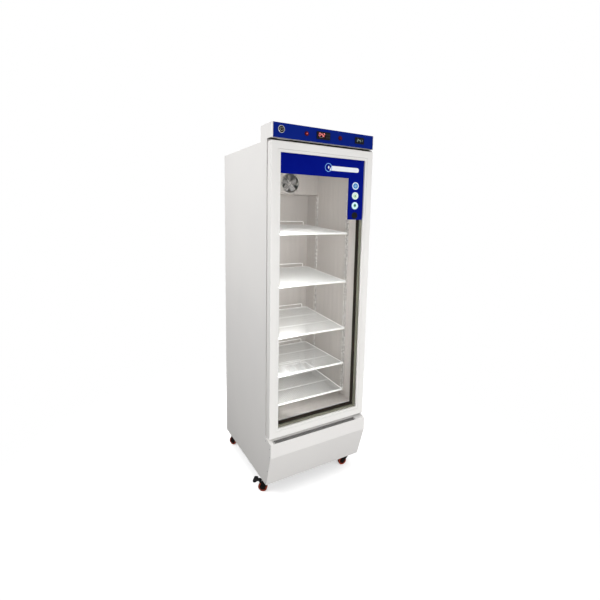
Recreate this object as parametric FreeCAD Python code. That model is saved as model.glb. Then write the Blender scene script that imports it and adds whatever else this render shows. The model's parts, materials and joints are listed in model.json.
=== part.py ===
import FreeCAD, Part
import math
import os

from FreeCAD import Vector

# Upright glass door refrigerator for a laboratory. Millimetres, +Z up, the door faces -Y.
# The origin is on the floor, midway between the side panels and midway between the
# door's front plane and the rear panel.

# Overall sizes
cabinet_width = 600.0
cabinet_depth = 640.0
cabinet_top_z = 1821.0
caster_height = 75.0
front = -cabinet_depth / 2
back = cabinet_depth / 2
half_width = cabinet_width / 2

# Sheet metal
outer_sheet = 1.0
liner_sheet = 0.8
header_sheet = 1.0
fascia_sheet = 1.5
kick_sheet = 1.5

# Door
door_side_gap = 1.0
door_bottom_z = 346.0
door_top_gap = 6.0
door_thickness = 38.0
door_edge_radius = 3.0
stile_width = 35.0
bead_width = 14.0
bead_joint_gap = 0.8
bead_set_back = 0.8
glass_thickness = 4.0
glass_set_back = 10.0
glass_cover = 12.0
spacer_depth = 12.0
spacer_inside_sight = 7.0
spacer_wall = 9.0
decal_thickness = 0.3
decal_band_height = 95.0
decal_strip_width = 99.0
decal_strip_height = 308.0
door_screw_head = 3.4
door_screw_proud = 0.8
door_screw_z = (1110.0, 1257.0)
door_screw_set_back = 17.0

# Gasket and its black carrier on the back of the door
gasket_gap = 8.0
gasket_clearance = 0.3
gasket_width = 24.0
gasket_edge = 20.0
carrier_reach = 4.0

# Hinges at the right edge
hinge_edge = 14.0
hinge_set_back = 19.0
hinge_pin_radius = 4.0
hinge_pin_clearance = 0.05
hinge_pin_length = 18.0
hinge_plate = 3.0
hinge_flange = 2.0
hinge_air = 2.0
hinge_width = 58.0
hinge_inset = 2.0
hinge_flange_height = 23.0
hinge_nose = 8.0
hinge_collar_radius = 8.0
hinge_collar_air = 0.3

# Insulated walls and the chilled space
side_wall = 50.0
rear_wall = 65.0
floor_z = 413.0
ceiling_wall = 51.0
deck_z = 350.0
front_frame_depth = 6.0
front_frame_bottom_z = 300.0

# Shelf rails and clips
rail_depth = 5.0
rail_width = 22.0
rail_sheet = 1.2
rail_front_set_back = 137.0
rail_rear_set_back = 459.0
rail_bottom_z = 432.0
rail_top_z = 1600.0
slot_pitch = 12.5
slot_height = 6.0
slot_width = 10.0
first_slot_z = 451.7
clip_plate = 1.5
clip_ledge = 9.0
clip_width = 14.0
clip_height = 20.0
clip_below = 9.0

# Wire shelves: the front slot that each one hangs in, and how many slots higher its rear clips are
shelf_slots = (74, 52, 30, 13, 0)
shelf_rear_slots_up = (2, 2, 2, 0, 1)
shelf_half_width = 241.5
shelf_front_set_back = 112.0
shelf_depth = 443.0
shelf_side_wire = 3.5
shelf_front_wire = 4.5
shelf_cross_wire = 3.0
shelf_fine_wire = 1.9
shelf_fine_count = 48
shelf_cross_count = 2
shelf_weld_sink = 0.5
shelf_corner = 12.0
shelf_clip_clearance = 0.3
guard_height = 26.0
guard_fine_pitches_in = 2.5
guard_seat_gap = 0.2
guard_wire = 2.2
guard_corner = 9.0

# Evaporator unit at the back of the ceiling
evaporator_front_set_back = 455.0
evaporator_bottom_z = 1606.5
evaporator_sheet = 1.0
evaporator_clearance = 0.5
evaporator_slot_count = 9
evaporator_slot_size = (34.0, 6.0)
evaporator_slot_pitch = 46.0
coil_size = (400.0, 56.0, 112.0)
coil_tube_radius = 4.5
coil_turns = 5
fan_x = 49.0
fan_z = 1669.0
guard_ring_outer = 61.0
guard_ring_inner = 56.0
guard_ring_depth = 3.0
guard_bar_radius = 1.8
evaporator_rotor_radius = 51.0
evaporator_hub_radius = 16.0
evaporator_hub_length = 14.0
evaporator_blades = 5
evaporator_motor_radius = 24.0
evaporator_motor_length = 26.0
fan_shaft_radius = 3.0
fan_shaft_clearance = 0.05

# Ceiling lamp
lamp_length = 440.0
lamp_depth = 34.0
lamp_height = 16.0
lamp_set_back = 62.0
lamp_seat_gap = 0.2

# Header above the door
header_top_z = 1895.0
header_bottom_z = 1827.0
header_overhang = 3.0
header_depth = 119.0
fascia_depth = 21.0
fascia_edge_radius = 8.0
panel_line_z = 1861.5

# Door lock in the header
lock_x = -250.0
lock_z = 1866.0
lock_bezel_radius = 17.0
lock_bezel_depth = 3.0
lock_barrel_radius = 9.5
lock_barrel_length = 21.0
lock_nut_radius = 13.0
lock_nut_depth = 4.0
lock_plug_radius = 6.5
lock_plug_clearance = 0.05
lock_plug_proud = 1.0
lock_key_slot = (2.4, 8.0, 5.0)
lock_cam_reach = 62.0
lock_cam_width = 10.0
lock_cam_plate = 2.5
lock_cam_air = 2.0
lock_pocket_air = 1.5
panel_hole_clearance = 0.1

# Round rocker switches
switch_x = (-115.0, 80.0)
switch_bezel_radius = 11.5
switch_bezel_depth = 2.0
switch_body_radius = 10.0
switch_body_length = 20.0
switch_bore_radius = 9.3
switch_bore_depth = 12.0
rocker_radius = 8.3
rocker_valley = 4.2
rocker_back = 4.0
rocker_tilt = 8.0
rocker_pivot_depth = 3.0
rocker_pin_radius = 1.2
rocker_pin_clearance = 0.05
rocker_pin_reach = 9.7

# Temperature controller
controller_x = -20.0
controller_size = (78.0, 36.0)
controller_bezel_depth = 4.0
controller_body = (70.0, 28.0)
controller_body_depth = 55.0
controller_window_size = (45.0, 25.0)
controller_window_x = -11.5
window_thickness = 1.2
bezel_corner = 3.0
key_size = (8.6, 7.6)
key_columns = (18.5, 30.5)
key_rows = (6.2, -6.2)
key_length = 2.6
key_proud = 0.8
key_pocket_depth = 3.4
key_clearance = 0.15

# Liquid crystal thermometer
thermometer_x = 202.0
thermometer_size = (58.0, 32.0)
thermometer_bezel_depth = 3.0
thermometer_body = (51.0, 26.0)
thermometer_body_depth = 14.0
thermometer_window_size = (46.0, 20.0)

# Kick panel below the door, as heights and set backs from the door's front plane
kick_lip_z = 327.0
kick_lip_set_back = -18.0
kick_crease_z = 254.0
kick_bottom_set_back = 34.0
kick_top_rear_z = 338.0
kick_top_rear_set_back = 42.0
kick_side_set_back = 45.8
grille_x = (-281.0, 241.0)
grille_run = (3.0, 24.6)
grille_plate = 1.0
grille_rows = 3
grille_pitch = 8.0
grille_slot = (5.6, 6.4)
grille_lean = 2.4
screw_head_radius = 2.6
screw_head_proud = 1.0
kick_screws = ((41.0, 321.0), (-9.0, 302.0), (-10.0, 259.0), (19.0, 164.0), (41.0, 84.0))

# Machine space under the deck
base_plate_thickness = 2.0
compressor_xy = (130.0, 130.0)
compressor_radius = 82.0
compressor_wall = 4.0
compressor_waist_z = 210.0
compressor_dome = 58.0
compressor_plate = (210.0, 150.0, 3.0)
grommet_radius = 12.0
grommet_height = 14.0
condenser_x = (-165.0, 105.0)
condenser_set_back = 78.0
condenser_depth = 40.0
condenser_height = 205.0
condenser_lift = 6.0
condenser_tubes = 7
shroud_sheet = 1.5
shroud_ring_radius = 84.0
shroud_ring_wall = 1.5
shroud_ring_depth = 26.0
condenser_rotor_radius = 79.0
condenser_hub_radius = 24.0
condenser_hub_length = 20.0
condenser_blades = 5
condenser_motor_radius = 34.0
condenser_motor_length = 44.0
motor_arm_width = 12.0
motor_arm_plate = 2.0
rotor_air = 3.0
drain_pan_x = (-262.0, -40.0)
drain_pan_y = (30.0, 290.0)
drain_pan_height = 36.0
drain_pan_sheet = 1.2

# Supply cord inlet in the rear panel
inlet_x = -205.0
inlet_z = 165.0
inlet_bore_radius = 4.6
inlet_thread_radius = 8.0
inlet_flange_radius = 12.0
inlet_flange_depth = 4.0
inlet_nose_radius = 8.5
inlet_nose_length = 10.0
inlet_inner_length = 11.0
inlet_nut_radius = 13.0
inlet_nut_depth = 4.0
vent_slot = (5.0, 46.0)
vent_count = 20
vent_pitch = 14.0
vent_centre_x = 90.0
vent_rows_z = (140.0, 210.0)

# Casters
caster_x = 260.0
caster_front_set_back = 72.0
caster_rear_set_back = 543.0
caster_plate = (62.0, 2.5)
caster_race_radius = 21.0
caster_race_depth = 6.0
caster_fork_air = 0.3
caster_fork_plate = 3.7
caster_fork_radius = 20.0
kingpin_radius = 5.0
kingpin_clearance = 0.05
kingpin_head_radius = 8.0
kingpin_head_depth = 2.6
wheel_radius = 25.0
wheel_width = 18.0
wheel_edge = 3.0
wheel_side_gap = 0.9
wheel_hub_radius = 9.0
wheel_hub_proud = 0.5
caster_trail = 38.0
fork_leg_plate = 2.5
fork_leg_boss = 10.0
axle_radius = 4.0
axle_clearance = 0.05
axle_nut_radius = 6.5
axle_nut_depth = 3.0
caster_heading = {"fl": 140.0, "fr": 170.0, "rl": 120.0, "rr": 190.0}
pedal_pivot = (50.0, 58.0)
pedal_pin_radius = 2.5
pedal_pin_clearance = 0.05
pedal_reach = 92.0
pedal_width = 44.0
pedal_corner = 8.0
pedal_tread_from = 18.0
pedal_plate = 5.0
pedal_hub_radius = 5.5
pedal_tip_drop = 3.0
pedal_ear_radius = 6.0
pedal_side_air = 0.4
pedal_travel = 18.0
pedal_lobe_reach = 9.3
pedal_lobe_width = 5.0

os.makedirs("parts", exist_ok=True)

# Planes worked out from the sizes above
cabinet_face = front + door_thickness + gasket_gap
inside_half_width = half_width - side_wall
inside_back = back - rear_wall
ceiling_z = cabinet_top_z - ceiling_wall
door_half_width = half_width - door_side_gap
door_top_z = cabinet_top_z - door_top_gap
sight_edge = stile_width + bead_width
header_front = front - header_overhang
header_back = header_front + header_depth
fascia_back = header_front + fascia_depth


def box(x0, x1, y0, y1, z0, z1):
    return Part.makeBox(x1 - x0, y1 - y0, z1 - z0, Vector(x0, y0, z0))


def rod_x(radius, x0, x1, y, z):
    return Part.makeCylinder(radius, x1 - x0, Vector(x0, y, z), Vector(1, 0, 0))


def rod_y(radius, y0, y1, x, z):
    return Part.makeCylinder(radius, y1 - y0, Vector(x, y0, z), Vector(0, 1, 0))


def rod_z(radius, z0, z1, x, y):
    return Part.makeCylinder(radius, z1 - z0, Vector(x, y, z0), Vector(0, 0, 1))


def join(first, *others):
    return first.fuse(list(others)).removeSplitter()


def save(name, *solids):
    shape = solids[0] if len(solids) == 1 else Part.makeCompound(list(solids))
    shape.exportStep("parts/" + name + ".step")


def mirror_x(shape):
    return shape.mirror(Vector(0, 0, 0), Vector(1, 0, 0))


def prism_x(outline, x0, x1):
    """Solid of a (y, z) outline carried along X."""
    points = [Vector(x0, y, z) for y, z in outline]
    face = Part.Face(Part.makePolygon(points + points[:1]))
    return face.extrude(Vector(x1 - x0, 0, 0))


def prism_y(outline, y0, y1):
    """Solid of an (x, z) outline carried along Y."""
    points = [Vector(x, y0, z) for x, z in outline]
    face = Part.Face(Part.makePolygon(points + points[:1]))
    return face.extrude(Vector(0, y1 - y0, 0))


def prism_z(outline, z0, z1):
    """Solid of an (x, y) outline carried along Z."""
    points = [Vector(x, y, z0) for x, y in outline]
    face = Part.Face(Part.makePolygon(points + points[:1]))
    return face.extrude(Vector(0, 0, z1 - z0))


def loop_z(outline, z):
    points = [Vector(x, y, z) for x, y in outline]
    return Part.makePolygon(points + points[:1])


def rounded_plate(width, height, radius, y0, y1, x, z):
    """Plate in the XZ plane with rounded corners, centred on (x, z)."""
    plate = box(x - width / 2, x + width / 2, y0, y1, z - height / 2, z + height / 2)
    edges = [e for e in plate.Edges if abs(e.tangentAt(e.FirstParameter).y) > 0.9]
    return plate.makeFillet(radius, edges)


def mitred_ring(x_out, z0_out, z1_out, inset, y0, y1):
    """Four strips with mitred corners round a rectangle, each its own solid."""
    outer = ((-x_out, z0_out), (x_out, z0_out), (x_out, z1_out), (-x_out, z1_out))
    inner = (
        (-x_out + inset, z0_out + inset),
        (x_out - inset, z0_out + inset),
        (x_out - inset, z1_out - inset),
        (-x_out + inset, z1_out - inset),
    )
    strips = []
    for i in range(4):
        j = (i + 1) % 4
        strips.append(prism_y((outer[i], outer[j], inner[j], inner[i]), y0, y1))
    return strips


def make_outer_panels():
    left = box(-half_width, -half_width + outer_sheet, cabinet_face, back, caster_height, cabinet_top_z)
    save("side_panel_left", left)
    save("side_panel_right", mirror_x(left))
    inner_x = half_width - outer_sheet
    top = box(-inner_x, inner_x, header_back, back - outer_sheet, cabinet_top_z - outer_sheet, cabinet_top_z)
    save("top_panel", top)
    rear = box(-inner_x, inner_x, back - outer_sheet, back, caster_height, cabinet_top_z)
    cuts = [rod_y(inlet_thread_radius + panel_hole_clearance, back - 2, back + 2, inlet_x, inlet_z)]
    vent_width, vent_height = vent_slot
    for row_z in vent_rows_z:
        for i in range(vent_count):
            x = vent_centre_x + (i - (vent_count - 1) / 2) * vent_pitch
            slot = box(x - vent_width / 2, x + vent_width / 2, back - 2, back + 1,
                       row_z - vent_height / 2, row_z + vent_height / 2)
            cuts.append(slot)
    save("rear_panel", rear.cut(cuts))
    base = box(-inner_x, inner_x, cabinet_face, back - outer_sheet,
               caster_height, caster_height + base_plate_thickness)
    save("base_plate", base)
    deck = box(-inner_x, inner_x, cabinet_face + front_frame_depth, back - outer_sheet,
               deck_z - outer_sheet, deck_z)
    save("machine_deck", deck)


def make_insulation():
    inner_x = half_width - outer_sheet
    frame_back = cabinet_face + front_frame_depth
    block = box(-inner_x, inner_x, frame_back, back - outer_sheet, deck_z, cabinet_top_z - outer_sheet)
    liner_x = inside_half_width + liner_sheet
    space = box(-liner_x, liner_x, frame_back - 1, inside_back + liner_sheet,
                floor_z - liner_sheet, ceiling_z + liner_sheet)
    save("cabinet_foam", block.cut(space))

    left = box(-liner_x, -inside_half_width, frame_back, inside_back + liner_sheet,
               floor_z - liner_sheet, ceiling_z + liner_sheet)
    rear = box(-inside_half_width, inside_half_width, inside_back, inside_back + liner_sheet,
               floor_z, ceiling_z)
    ceiling = box(-inside_half_width, inside_half_width, frame_back, inside_back + liner_sheet,
                  ceiling_z, ceiling_z + liner_sheet)
    floor = box(-inside_half_width, inside_half_width, frame_back, inside_back + liner_sheet,
                floor_z - liner_sheet, floor_z)
    save("inner_liner", left, mirror_x(left), rear, ceiling, floor)

    top = box(-inner_x, inner_x, cabinet_face, frame_back, ceiling_z, cabinet_top_z - outer_sheet)
    bottom = box(-inner_x, inner_x, cabinet_face, frame_back, front_frame_bottom_z, floor_z)
    side = box(-inner_x, -inside_half_width, cabinet_face, frame_back, floor_z, ceiling_z)
    save("front_frame", top, bottom, side, mirror_x(side))


def rail_positions():
    return (front + rail_front_set_back, front + rail_rear_set_back)


def make_shelf_rail(y):
    """Slotted channel on the left wall, open towards the wall."""
    web_x = -inside_half_width + rail_depth
    edge = rail_width / 2
    rail = box(-inside_half_width, web_x, y - edge, y + edge, rail_bottom_z, rail_top_z)
    cuts = [box(-inside_half_width - 1, web_x - rail_sheet, y - edge + rail_sheet, y + edge - rail_sheet,
                rail_bottom_z - 1, rail_top_z + 1)]
    count = int((rail_top_z - first_slot_z) / slot_pitch)
    for i in range(count):
        z = first_slot_z - clip_plate / 2 + i * slot_pitch
        cuts.append(box(web_x - 2 * rail_sheet, web_x + 1, y - slot_width / 2, y + slot_width / 2,
                        z - slot_height / 2, z + slot_height / 2))
    return rail.cut(cuts)


def clip_top_z(slot):
    return first_slot_z + slot * slot_pitch


def make_clip(y, slot):
    """Plate against the rail with a ledge under the shelf and a tongue in the slot."""
    web_x = -inside_half_width + rail_depth
    top = clip_top_z(slot)
    plate = box(web_x, web_x + clip_plate, y - clip_width / 2, y + clip_width / 2,
                top - clip_below, top - clip_below + clip_height)
    ledge = box(web_x, web_x + clip_plate + clip_ledge, y - clip_width / 2, y + clip_width / 2,
                top - clip_plate, top)
    tongue_half = slot_width / 2 - 1
    tongue = box(web_x - rail_sheet - 0.5, web_x, y - tongue_half, y + tongue_half,
                 top - clip_plate, top)
    return join(plate, ledge, tongue)


def make_shelf_supports():
    front_y, rear_y = rail_positions()
    front_rail = make_shelf_rail(front_y)
    rails = [front_rail, front_rail.translated(Vector(0, rear_y - front_y, 0))]
    save("shelf_rails", *(rails + [mirror_x(rail) for rail in rails]))
    clips = []
    for slot, slots_up in zip(shelf_slots, shelf_rear_slots_up):
        clips.append(make_clip(front_y, slot))
        clips.append(make_clip(rear_y, slot + slots_up))
    save("shelf_clips", *(clips + [mirror_x(clip) for clip in clips]))


def fine_pitch():
    return 2 * (shelf_half_width - shelf_side_wire - shelf_corner) / (shelf_fine_count - 1)


def make_wire_deck():
    """Deck with its side wires' centres at z = 0 and its front edge at y = 0."""
    side_x = shelf_half_width - shelf_side_wire
    rear_y = shelf_depth - shelf_side_wire
    turn = shelf_corner
    front_y = shelf_front_wire
    points = [Vector(-side_x, front_y + turn, 0), Vector(-side_x, rear_y - turn, 0),
              Vector(-side_x + turn, rear_y, 0), Vector(side_x - turn, rear_y, 0),
              Vector(side_x, rear_y - turn, 0), Vector(side_x, front_y + turn, 0)]
    bend = turn * (1 - math.sqrt(0.5))
    rear_left = Vector(-side_x + bend, rear_y - bend, 0)
    rear_right = Vector(side_x - bend, rear_y - bend, 0)
    path = Part.Wire([
        Part.LineSegment(points[0], points[1]).toShape(),
        Part.Arc(points[1], rear_left, points[2]).toShape(),
        Part.LineSegment(points[2], points[3]).toShape(),
        Part.Arc(points[3], rear_right, points[4]).toShape(),
        Part.LineSegment(points[4], points[5]).toShape(),
    ])
    section = Part.Wire(Part.makeCircle(shelf_side_wire, points[0], Vector(0, 1, 0)))
    rim = path.makePipeShell([section], True, False)
    front_path = Part.Wire([
        Part.Arc(Vector(-side_x, front_y + turn, 0), Vector(-side_x + bend, front_y + bend, 0),
                 Vector(-side_x + turn, front_y, 0)).toShape(),
        Part.LineSegment(Vector(-side_x + turn, front_y, 0), Vector(side_x - turn, front_y, 0)).toShape(),
        Part.Arc(Vector(side_x - turn, front_y, 0), Vector(side_x - bend, front_y + bend, 0),
                 Vector(side_x, front_y + turn, 0)).toShape(),
    ])
    front_section = Part.Wire(Part.makeCircle(shelf_front_wire, Vector(-side_x, front_y + turn, 0),
                                              Vector(0, -1, 0)))
    front_wire = front_path.makePipeShell([front_section], True, False)
    pieces = [front_wire]
    bay = (rear_y - front_y) / (shelf_cross_count + 1)
    for i in range(shelf_cross_count):
        pieces.append(rod_x(shelf_cross_wire, -side_x, side_x, front_y + (i + 1) * bay, 0))
    fine_z = shelf_cross_wire + shelf_fine_wire - shelf_weld_sink
    for i in range(shelf_fine_count):
        x = -side_x + shelf_corner + i * fine_pitch()
        pieces.append(rod_y(shelf_fine_wire, front_y, rear_y, x, fine_z))
    return rim.fuse(pieces)


def make_guard_wire():
    """Upright guard over the deck's rear wire, in the deck's own frame."""
    y = shelf_depth - shelf_side_wire
    bottom = shelf_side_wire + guard_seat_gap
    top = guard_height
    outermost = shelf_half_width - shelf_side_wire - shelf_corner
    half = outermost - guard_fine_pitches_in * fine_pitch()
    bend = guard_corner * (1 - math.sqrt(0.5))
    corner_left = Vector(-half + bend, y, top - bend)
    corner_right = Vector(half - bend, y, top - bend)
    start = Vector(-half, y, bottom)
    path = Part.Wire([
        Part.LineSegment(start, Vector(-half, y, top - guard_corner)).toShape(),
        Part.Arc(Vector(-half, y, top - guard_corner), corner_left,
                 Vector(-half + guard_corner, y, top)).toShape(),
        Part.LineSegment(Vector(-half + guard_corner, y, top), Vector(half - guard_corner, y, top)).toShape(),
        Part.Arc(Vector(half - guard_corner, y, top), corner_right,
                 Vector(half, y, top - guard_corner)).toShape(),
        Part.LineSegment(Vector(half, y, top - guard_corner), Vector(half, y, bottom)).toShape(),
    ])
    section = Part.Wire(Part.makeCircle(guard_wire, start, Vector(0, 0, 1)))
    return path.makePipeShell([section], True, False)


def make_shelves():
    deck = make_wire_deck()
    guard = make_guard_wire()
    front_y, rear_y = rail_positions()
    for number, (slot, slots_up) in enumerate(zip(shelf_slots, shelf_rear_slots_up), start=1):
        tilt = math.atan2(slots_up * slot_pitch, rear_y - front_y)
        lift = (shelf_side_wire + shelf_clip_clearance) / math.cos(tilt)
        rail_run = front_y - (front + shelf_front_set_back)
        lift += clip_width / 2 * math.tan(tilt)
        start_z = clip_top_z(slot) + lift - rail_run * math.tan(tilt)
        place = FreeCAD.Placement(Vector(0, front + shelf_front_set_back, start_z),
                                  FreeCAD.Rotation(Vector(1, 0, 0), math.degrees(tilt)))
        solids = []
        for shape in (deck, guard):
            copy = shape.copy()
            copy.Placement = place
            solids.append(copy)
        save("shelf_" + str(number), *solids)


def make_rotor(radius, hub_radius, hub_length, blades, pitch_deg, chord, x, y0, z):
    """Axial rotor on a Y axis, its hub from y0 to y0 + hub_length, with a shaft behind."""
    hub = rod_y(hub_radius, y0, y0 + hub_length, x, z)
    middle = y0 + hub_length / 2
    parts = []
    for i in range(blades):
        blade = Part.makeBox(chord, 1.6, radius - hub_radius + 3,
                             Vector(-chord / 2, -0.8, hub_radius - 3))
        blade.rotate(Vector(0, 0, 0), Vector(0, 0, 1), pitch_deg)
        blade.rotate(Vector(0, 0, 0), Vector(0, 1, 0), i * 360.0 / blades)
        parts.append(blade.translated(Vector(x, middle, z)))
    rotor = join(hub, *parts)
    limit = rod_y(radius, y0 - chord, y0 + hub_length + chord, x, z)
    return rotor.common(limit)


def make_evaporator():
    y0 = front + evaporator_front_set_back
    y1 = inside_back
    x1 = inside_half_width - evaporator_clearance
    z0 = evaporator_bottom_z
    z1 = ceiling_z
    s = evaporator_sheet
    shell = box(-x1, x1, y0, y1, z0, z1).cut(box(-x1 + s, x1 - s, y0 + s, y1 + 1, z0 + s, z1 + 1))
    cuts = [rod_y(guard_ring_inner, y0 - 1, y0 + s + 1, fan_x, fan_z)]
    slot_long, slot_short = evaporator_slot_size
    for row in (-1, 1):
        for i in range(evaporator_slot_count):
            x = (i - (evaporator_slot_count - 1) / 2) * evaporator_slot_pitch
            y = (y0 + y1) / 2 + 30 + row * slot_short
            cuts.append(box(x - slot_long / 2, x + slot_long / 2, y - slot_short / 2, y + slot_short / 2,
                            z0 - 1, z0 + s + 1))
    save("evaporator_housing", shell.cut(cuts))

    width, depth, height = coil_size
    coil_y = y1 - depth - 1
    coil_z = z1 - height
    coil = box(-width / 2, width / 2, coil_y, coil_y + depth, coil_z, z1)
    bends = []
    pitch = height / (coil_turns + 1)
    for i in range(coil_turns):
        z = coil_z + (i + 1) * pitch
        for side in (-1, 1):
            x = side * width / 2
            bend = Part.makeTorus(depth / 4, coil_tube_radius, Vector(x, coil_y + depth / 2, z), Vector(0, 0, 1))
            half = box(min(x, x + side * depth), max(x, x + side * depth), coil_y, coil_y + depth,
                       z - pitch, z + pitch)
            bends.append(bend.common(half))
    save("evaporator_coil", join(coil, *bends))

    ring = rod_y(guard_ring_outer, y0 - guard_ring_depth, y0, fan_x, fan_z)
    ring = ring.cut(rod_y(guard_ring_inner, y0 - guard_ring_depth - 1, y0 + 1, fan_x, fan_z))
    bars = []
    reach = (guard_ring_inner + guard_ring_outer) / 2
    for angle in (45, 135):
        bar = Part.makeCylinder(guard_bar_radius, 2 * reach, Vector(-reach, 0, 0), Vector(1, 0, 0))
        bar.rotate(Vector(0, 0, 0), Vector(0, 1, 0), angle)
        bars.append(bar.translated(Vector(fan_x, y0 - guard_ring_depth / 2, fan_z)))
    ring = join(ring, *bars)

    rotor_y = y0 + s + rotor_air + 2
    hub_end = rotor_y + evaporator_hub_length
    motor_y = hub_end + rotor_air
    rotor = make_rotor(evaporator_rotor_radius, evaporator_hub_radius, evaporator_hub_length,
                       evaporator_blades, 30, 30, fan_x, rotor_y, fan_z)
    rotor = join(rotor, rod_y(fan_shaft_radius, hub_end - 1, motor_y + 12, fan_x, fan_z))
    save("evaporator_fan_blades", rotor)

    motor = rod_y(evaporator_motor_radius, motor_y, motor_y + evaporator_motor_length, fan_x, fan_z)
    arm_end = guard_ring_inner + 8
    arms = []
    for side in (-1, 1):
        x_out = fan_x + side * arm_end
        arm = box(min(fan_x, x_out), max(fan_x, x_out), motor_y, motor_y + motor_arm_plate,
                  fan_z - motor_arm_width / 2, fan_z + motor_arm_width / 2)
        leg = box(min(x_out, x_out - side * motor_arm_plate), max(x_out, x_out - side * motor_arm_plate),
                  y0 + s, motor_y + motor_arm_plate, fan_z - motor_arm_width / 2, fan_z + motor_arm_width / 2)
        arms += [arm, leg]
    bore = rod_y(fan_shaft_radius + fan_shaft_clearance, motor_y - 1, motor_y + 14, fan_x, fan_z)
    motor = join(motor, *arms).cut(bore)
    save("evaporator_fan_frame", ring, motor)


def make_lamp():
    y0 = front + lamp_set_back
    z1 = ceiling_z - lamp_seat_gap
    outline = ((y0, z1), (y0 + lamp_depth, z1), (y0 + lamp_depth, z1 - lamp_height / 2),
               (y0 + lamp_depth - 6, z1 - lamp_height), (y0 + 6, z1 - lamp_height), (y0, z1 - lamp_height / 2))
    save("ceiling_lamp", prism_x(outline, -lamp_length / 2, lamp_length / 2))


def round_ended_tray(x, y0, y1, z0, z1, radius):
    """Block whose two upright front edges are rounded."""
    block = box(-x, x, y0, y1, z0, z1)
    edges = []
    for edge in block.Edges:
        upright = abs(edge.tangentAt(edge.FirstParameter).z) > 0.9
        if upright and abs(edge.CenterOfMass.y - y0) < 0.01:
            edges.append(edge)
    return block.makeFillet(radius, edges)


def make_header():
    t = header_sheet
    z0 = header_bottom_z
    z1 = header_top_z
    outer = ((fascia_back, z0), (fascia_back, z1), (header_back, z1), (header_back, cabinet_top_z),
             (cabinet_face, cabinet_top_z), (cabinet_face, z0))
    inner = ((fascia_back - 1, z0 + t), (fascia_back - 1, z1 - t), (header_back - t, z1 - t),
             (header_back - t, cabinet_top_z), (cabinet_face + t, cabinet_top_z), (cabinet_face + t, z0 + t))
    shell = prism_x(outer, -half_width, half_width)
    shell = shell.cut(prism_x(inner, -half_width + t, half_width - t))
    floor = box(-half_width + outer_sheet, half_width - outer_sheet, cabinet_face, header_back,
                cabinet_top_z - t, cabinet_top_z)
    slot = lock_slot(z0 - 1, z0 + t + 1, z0)
    save("header_shell", shell.cut(slot), floor)

    f = fascia_sheet
    tray = round_ended_tray(half_width, header_front, fascia_back, z0, z1, fascia_edge_radius)
    hollow = round_ended_tray(half_width - f, header_front + f, fascia_back + 1, z0 + f, z1 - f,
                              fascia_edge_radius - f)
    tray = tray.cut(hollow)
    y0 = header_front - 1
    y1 = header_front + f + 1
    gap = panel_hole_clearance
    cuts = [rod_y(lock_barrel_radius + gap, y0, y1, lock_x, lock_z)]
    for x in switch_x:
        cuts.append(rod_y(switch_body_radius + gap, y0, y1, x, panel_line_z))
    for x, (width, height) in ((controller_x, controller_body), (thermometer_x, thermometer_body)):
        cuts.append(box(x - width / 2 - gap, x + width / 2 + gap, y0, y1,
                        panel_line_z - height / 2 - gap, panel_line_z + height / 2 + gap))
    save("header_fascia", tray.cut(cuts))


def cam_y():
    """Front and back of the lock cam."""
    start = header_front + lock_barrel_length + lock_cam_air
    return start, start + lock_cam_plate


def lock_slot(z0, z1, plane_z):
    """Slot that lets the swinging cam through a plane below the lock."""
    drop = lock_z - plane_z
    sweep = math.sqrt(lock_cam_reach ** 2 - drop ** 2)
    y0, y1 = cam_y()
    air = lock_pocket_air
    return box(lock_x - lock_cam_width / 2 - air, lock_x + sweep + air + lock_cam_width / 2,
               y0 - air, y1 + air, z0, z1)


def make_lock():
    y = header_front
    bezel = rod_y(lock_bezel_radius, y - lock_bezel_depth, y, lock_x, lock_z)
    rim = [e for e in bezel.Edges if abs(e.CenterOfMass.y - y + lock_bezel_depth) < 0.01 and e.Closed]
    bezel = bezel.makeFillet(1.2, rim)
    barrel = rod_y(lock_barrel_radius, y, y + lock_barrel_length, lock_x, lock_z)
    nut_y = y + fascia_sheet
    nut = rod_y(lock_nut_radius, nut_y, nut_y + lock_nut_depth, lock_x, lock_z)
    bore = rod_y(lock_plug_radius + lock_plug_clearance, y - lock_bezel_depth - 1,
                 y + lock_barrel_length + 1, lock_x, lock_z)
    save("lock_body", join(bezel, barrel, nut).cut(bore))

    cam_start, cam_end = cam_y()
    plug_front = y - lock_bezel_depth - lock_plug_proud
    plug = rod_y(lock_plug_radius, plug_front, cam_start, lock_x, lock_z)
    slot_width_x, slot_height_z, slot_depth = lock_key_slot
    key_slot = box(lock_x - slot_width_x / 2, lock_x + slot_width_x / 2, plug_front - 1,
                   plug_front + slot_depth, lock_z - slot_height_z / 2, lock_z + slot_height_z / 2)
    tongue = box(lock_x - lock_cam_width / 2, lock_x + lock_cam_reach - lock_cam_width / 2,
                 cam_start, cam_end, lock_z - lock_cam_width / 2, lock_z + lock_cam_width / 2)
    save("lock_plug", join(plug, tongue).cut(key_slot))


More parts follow.
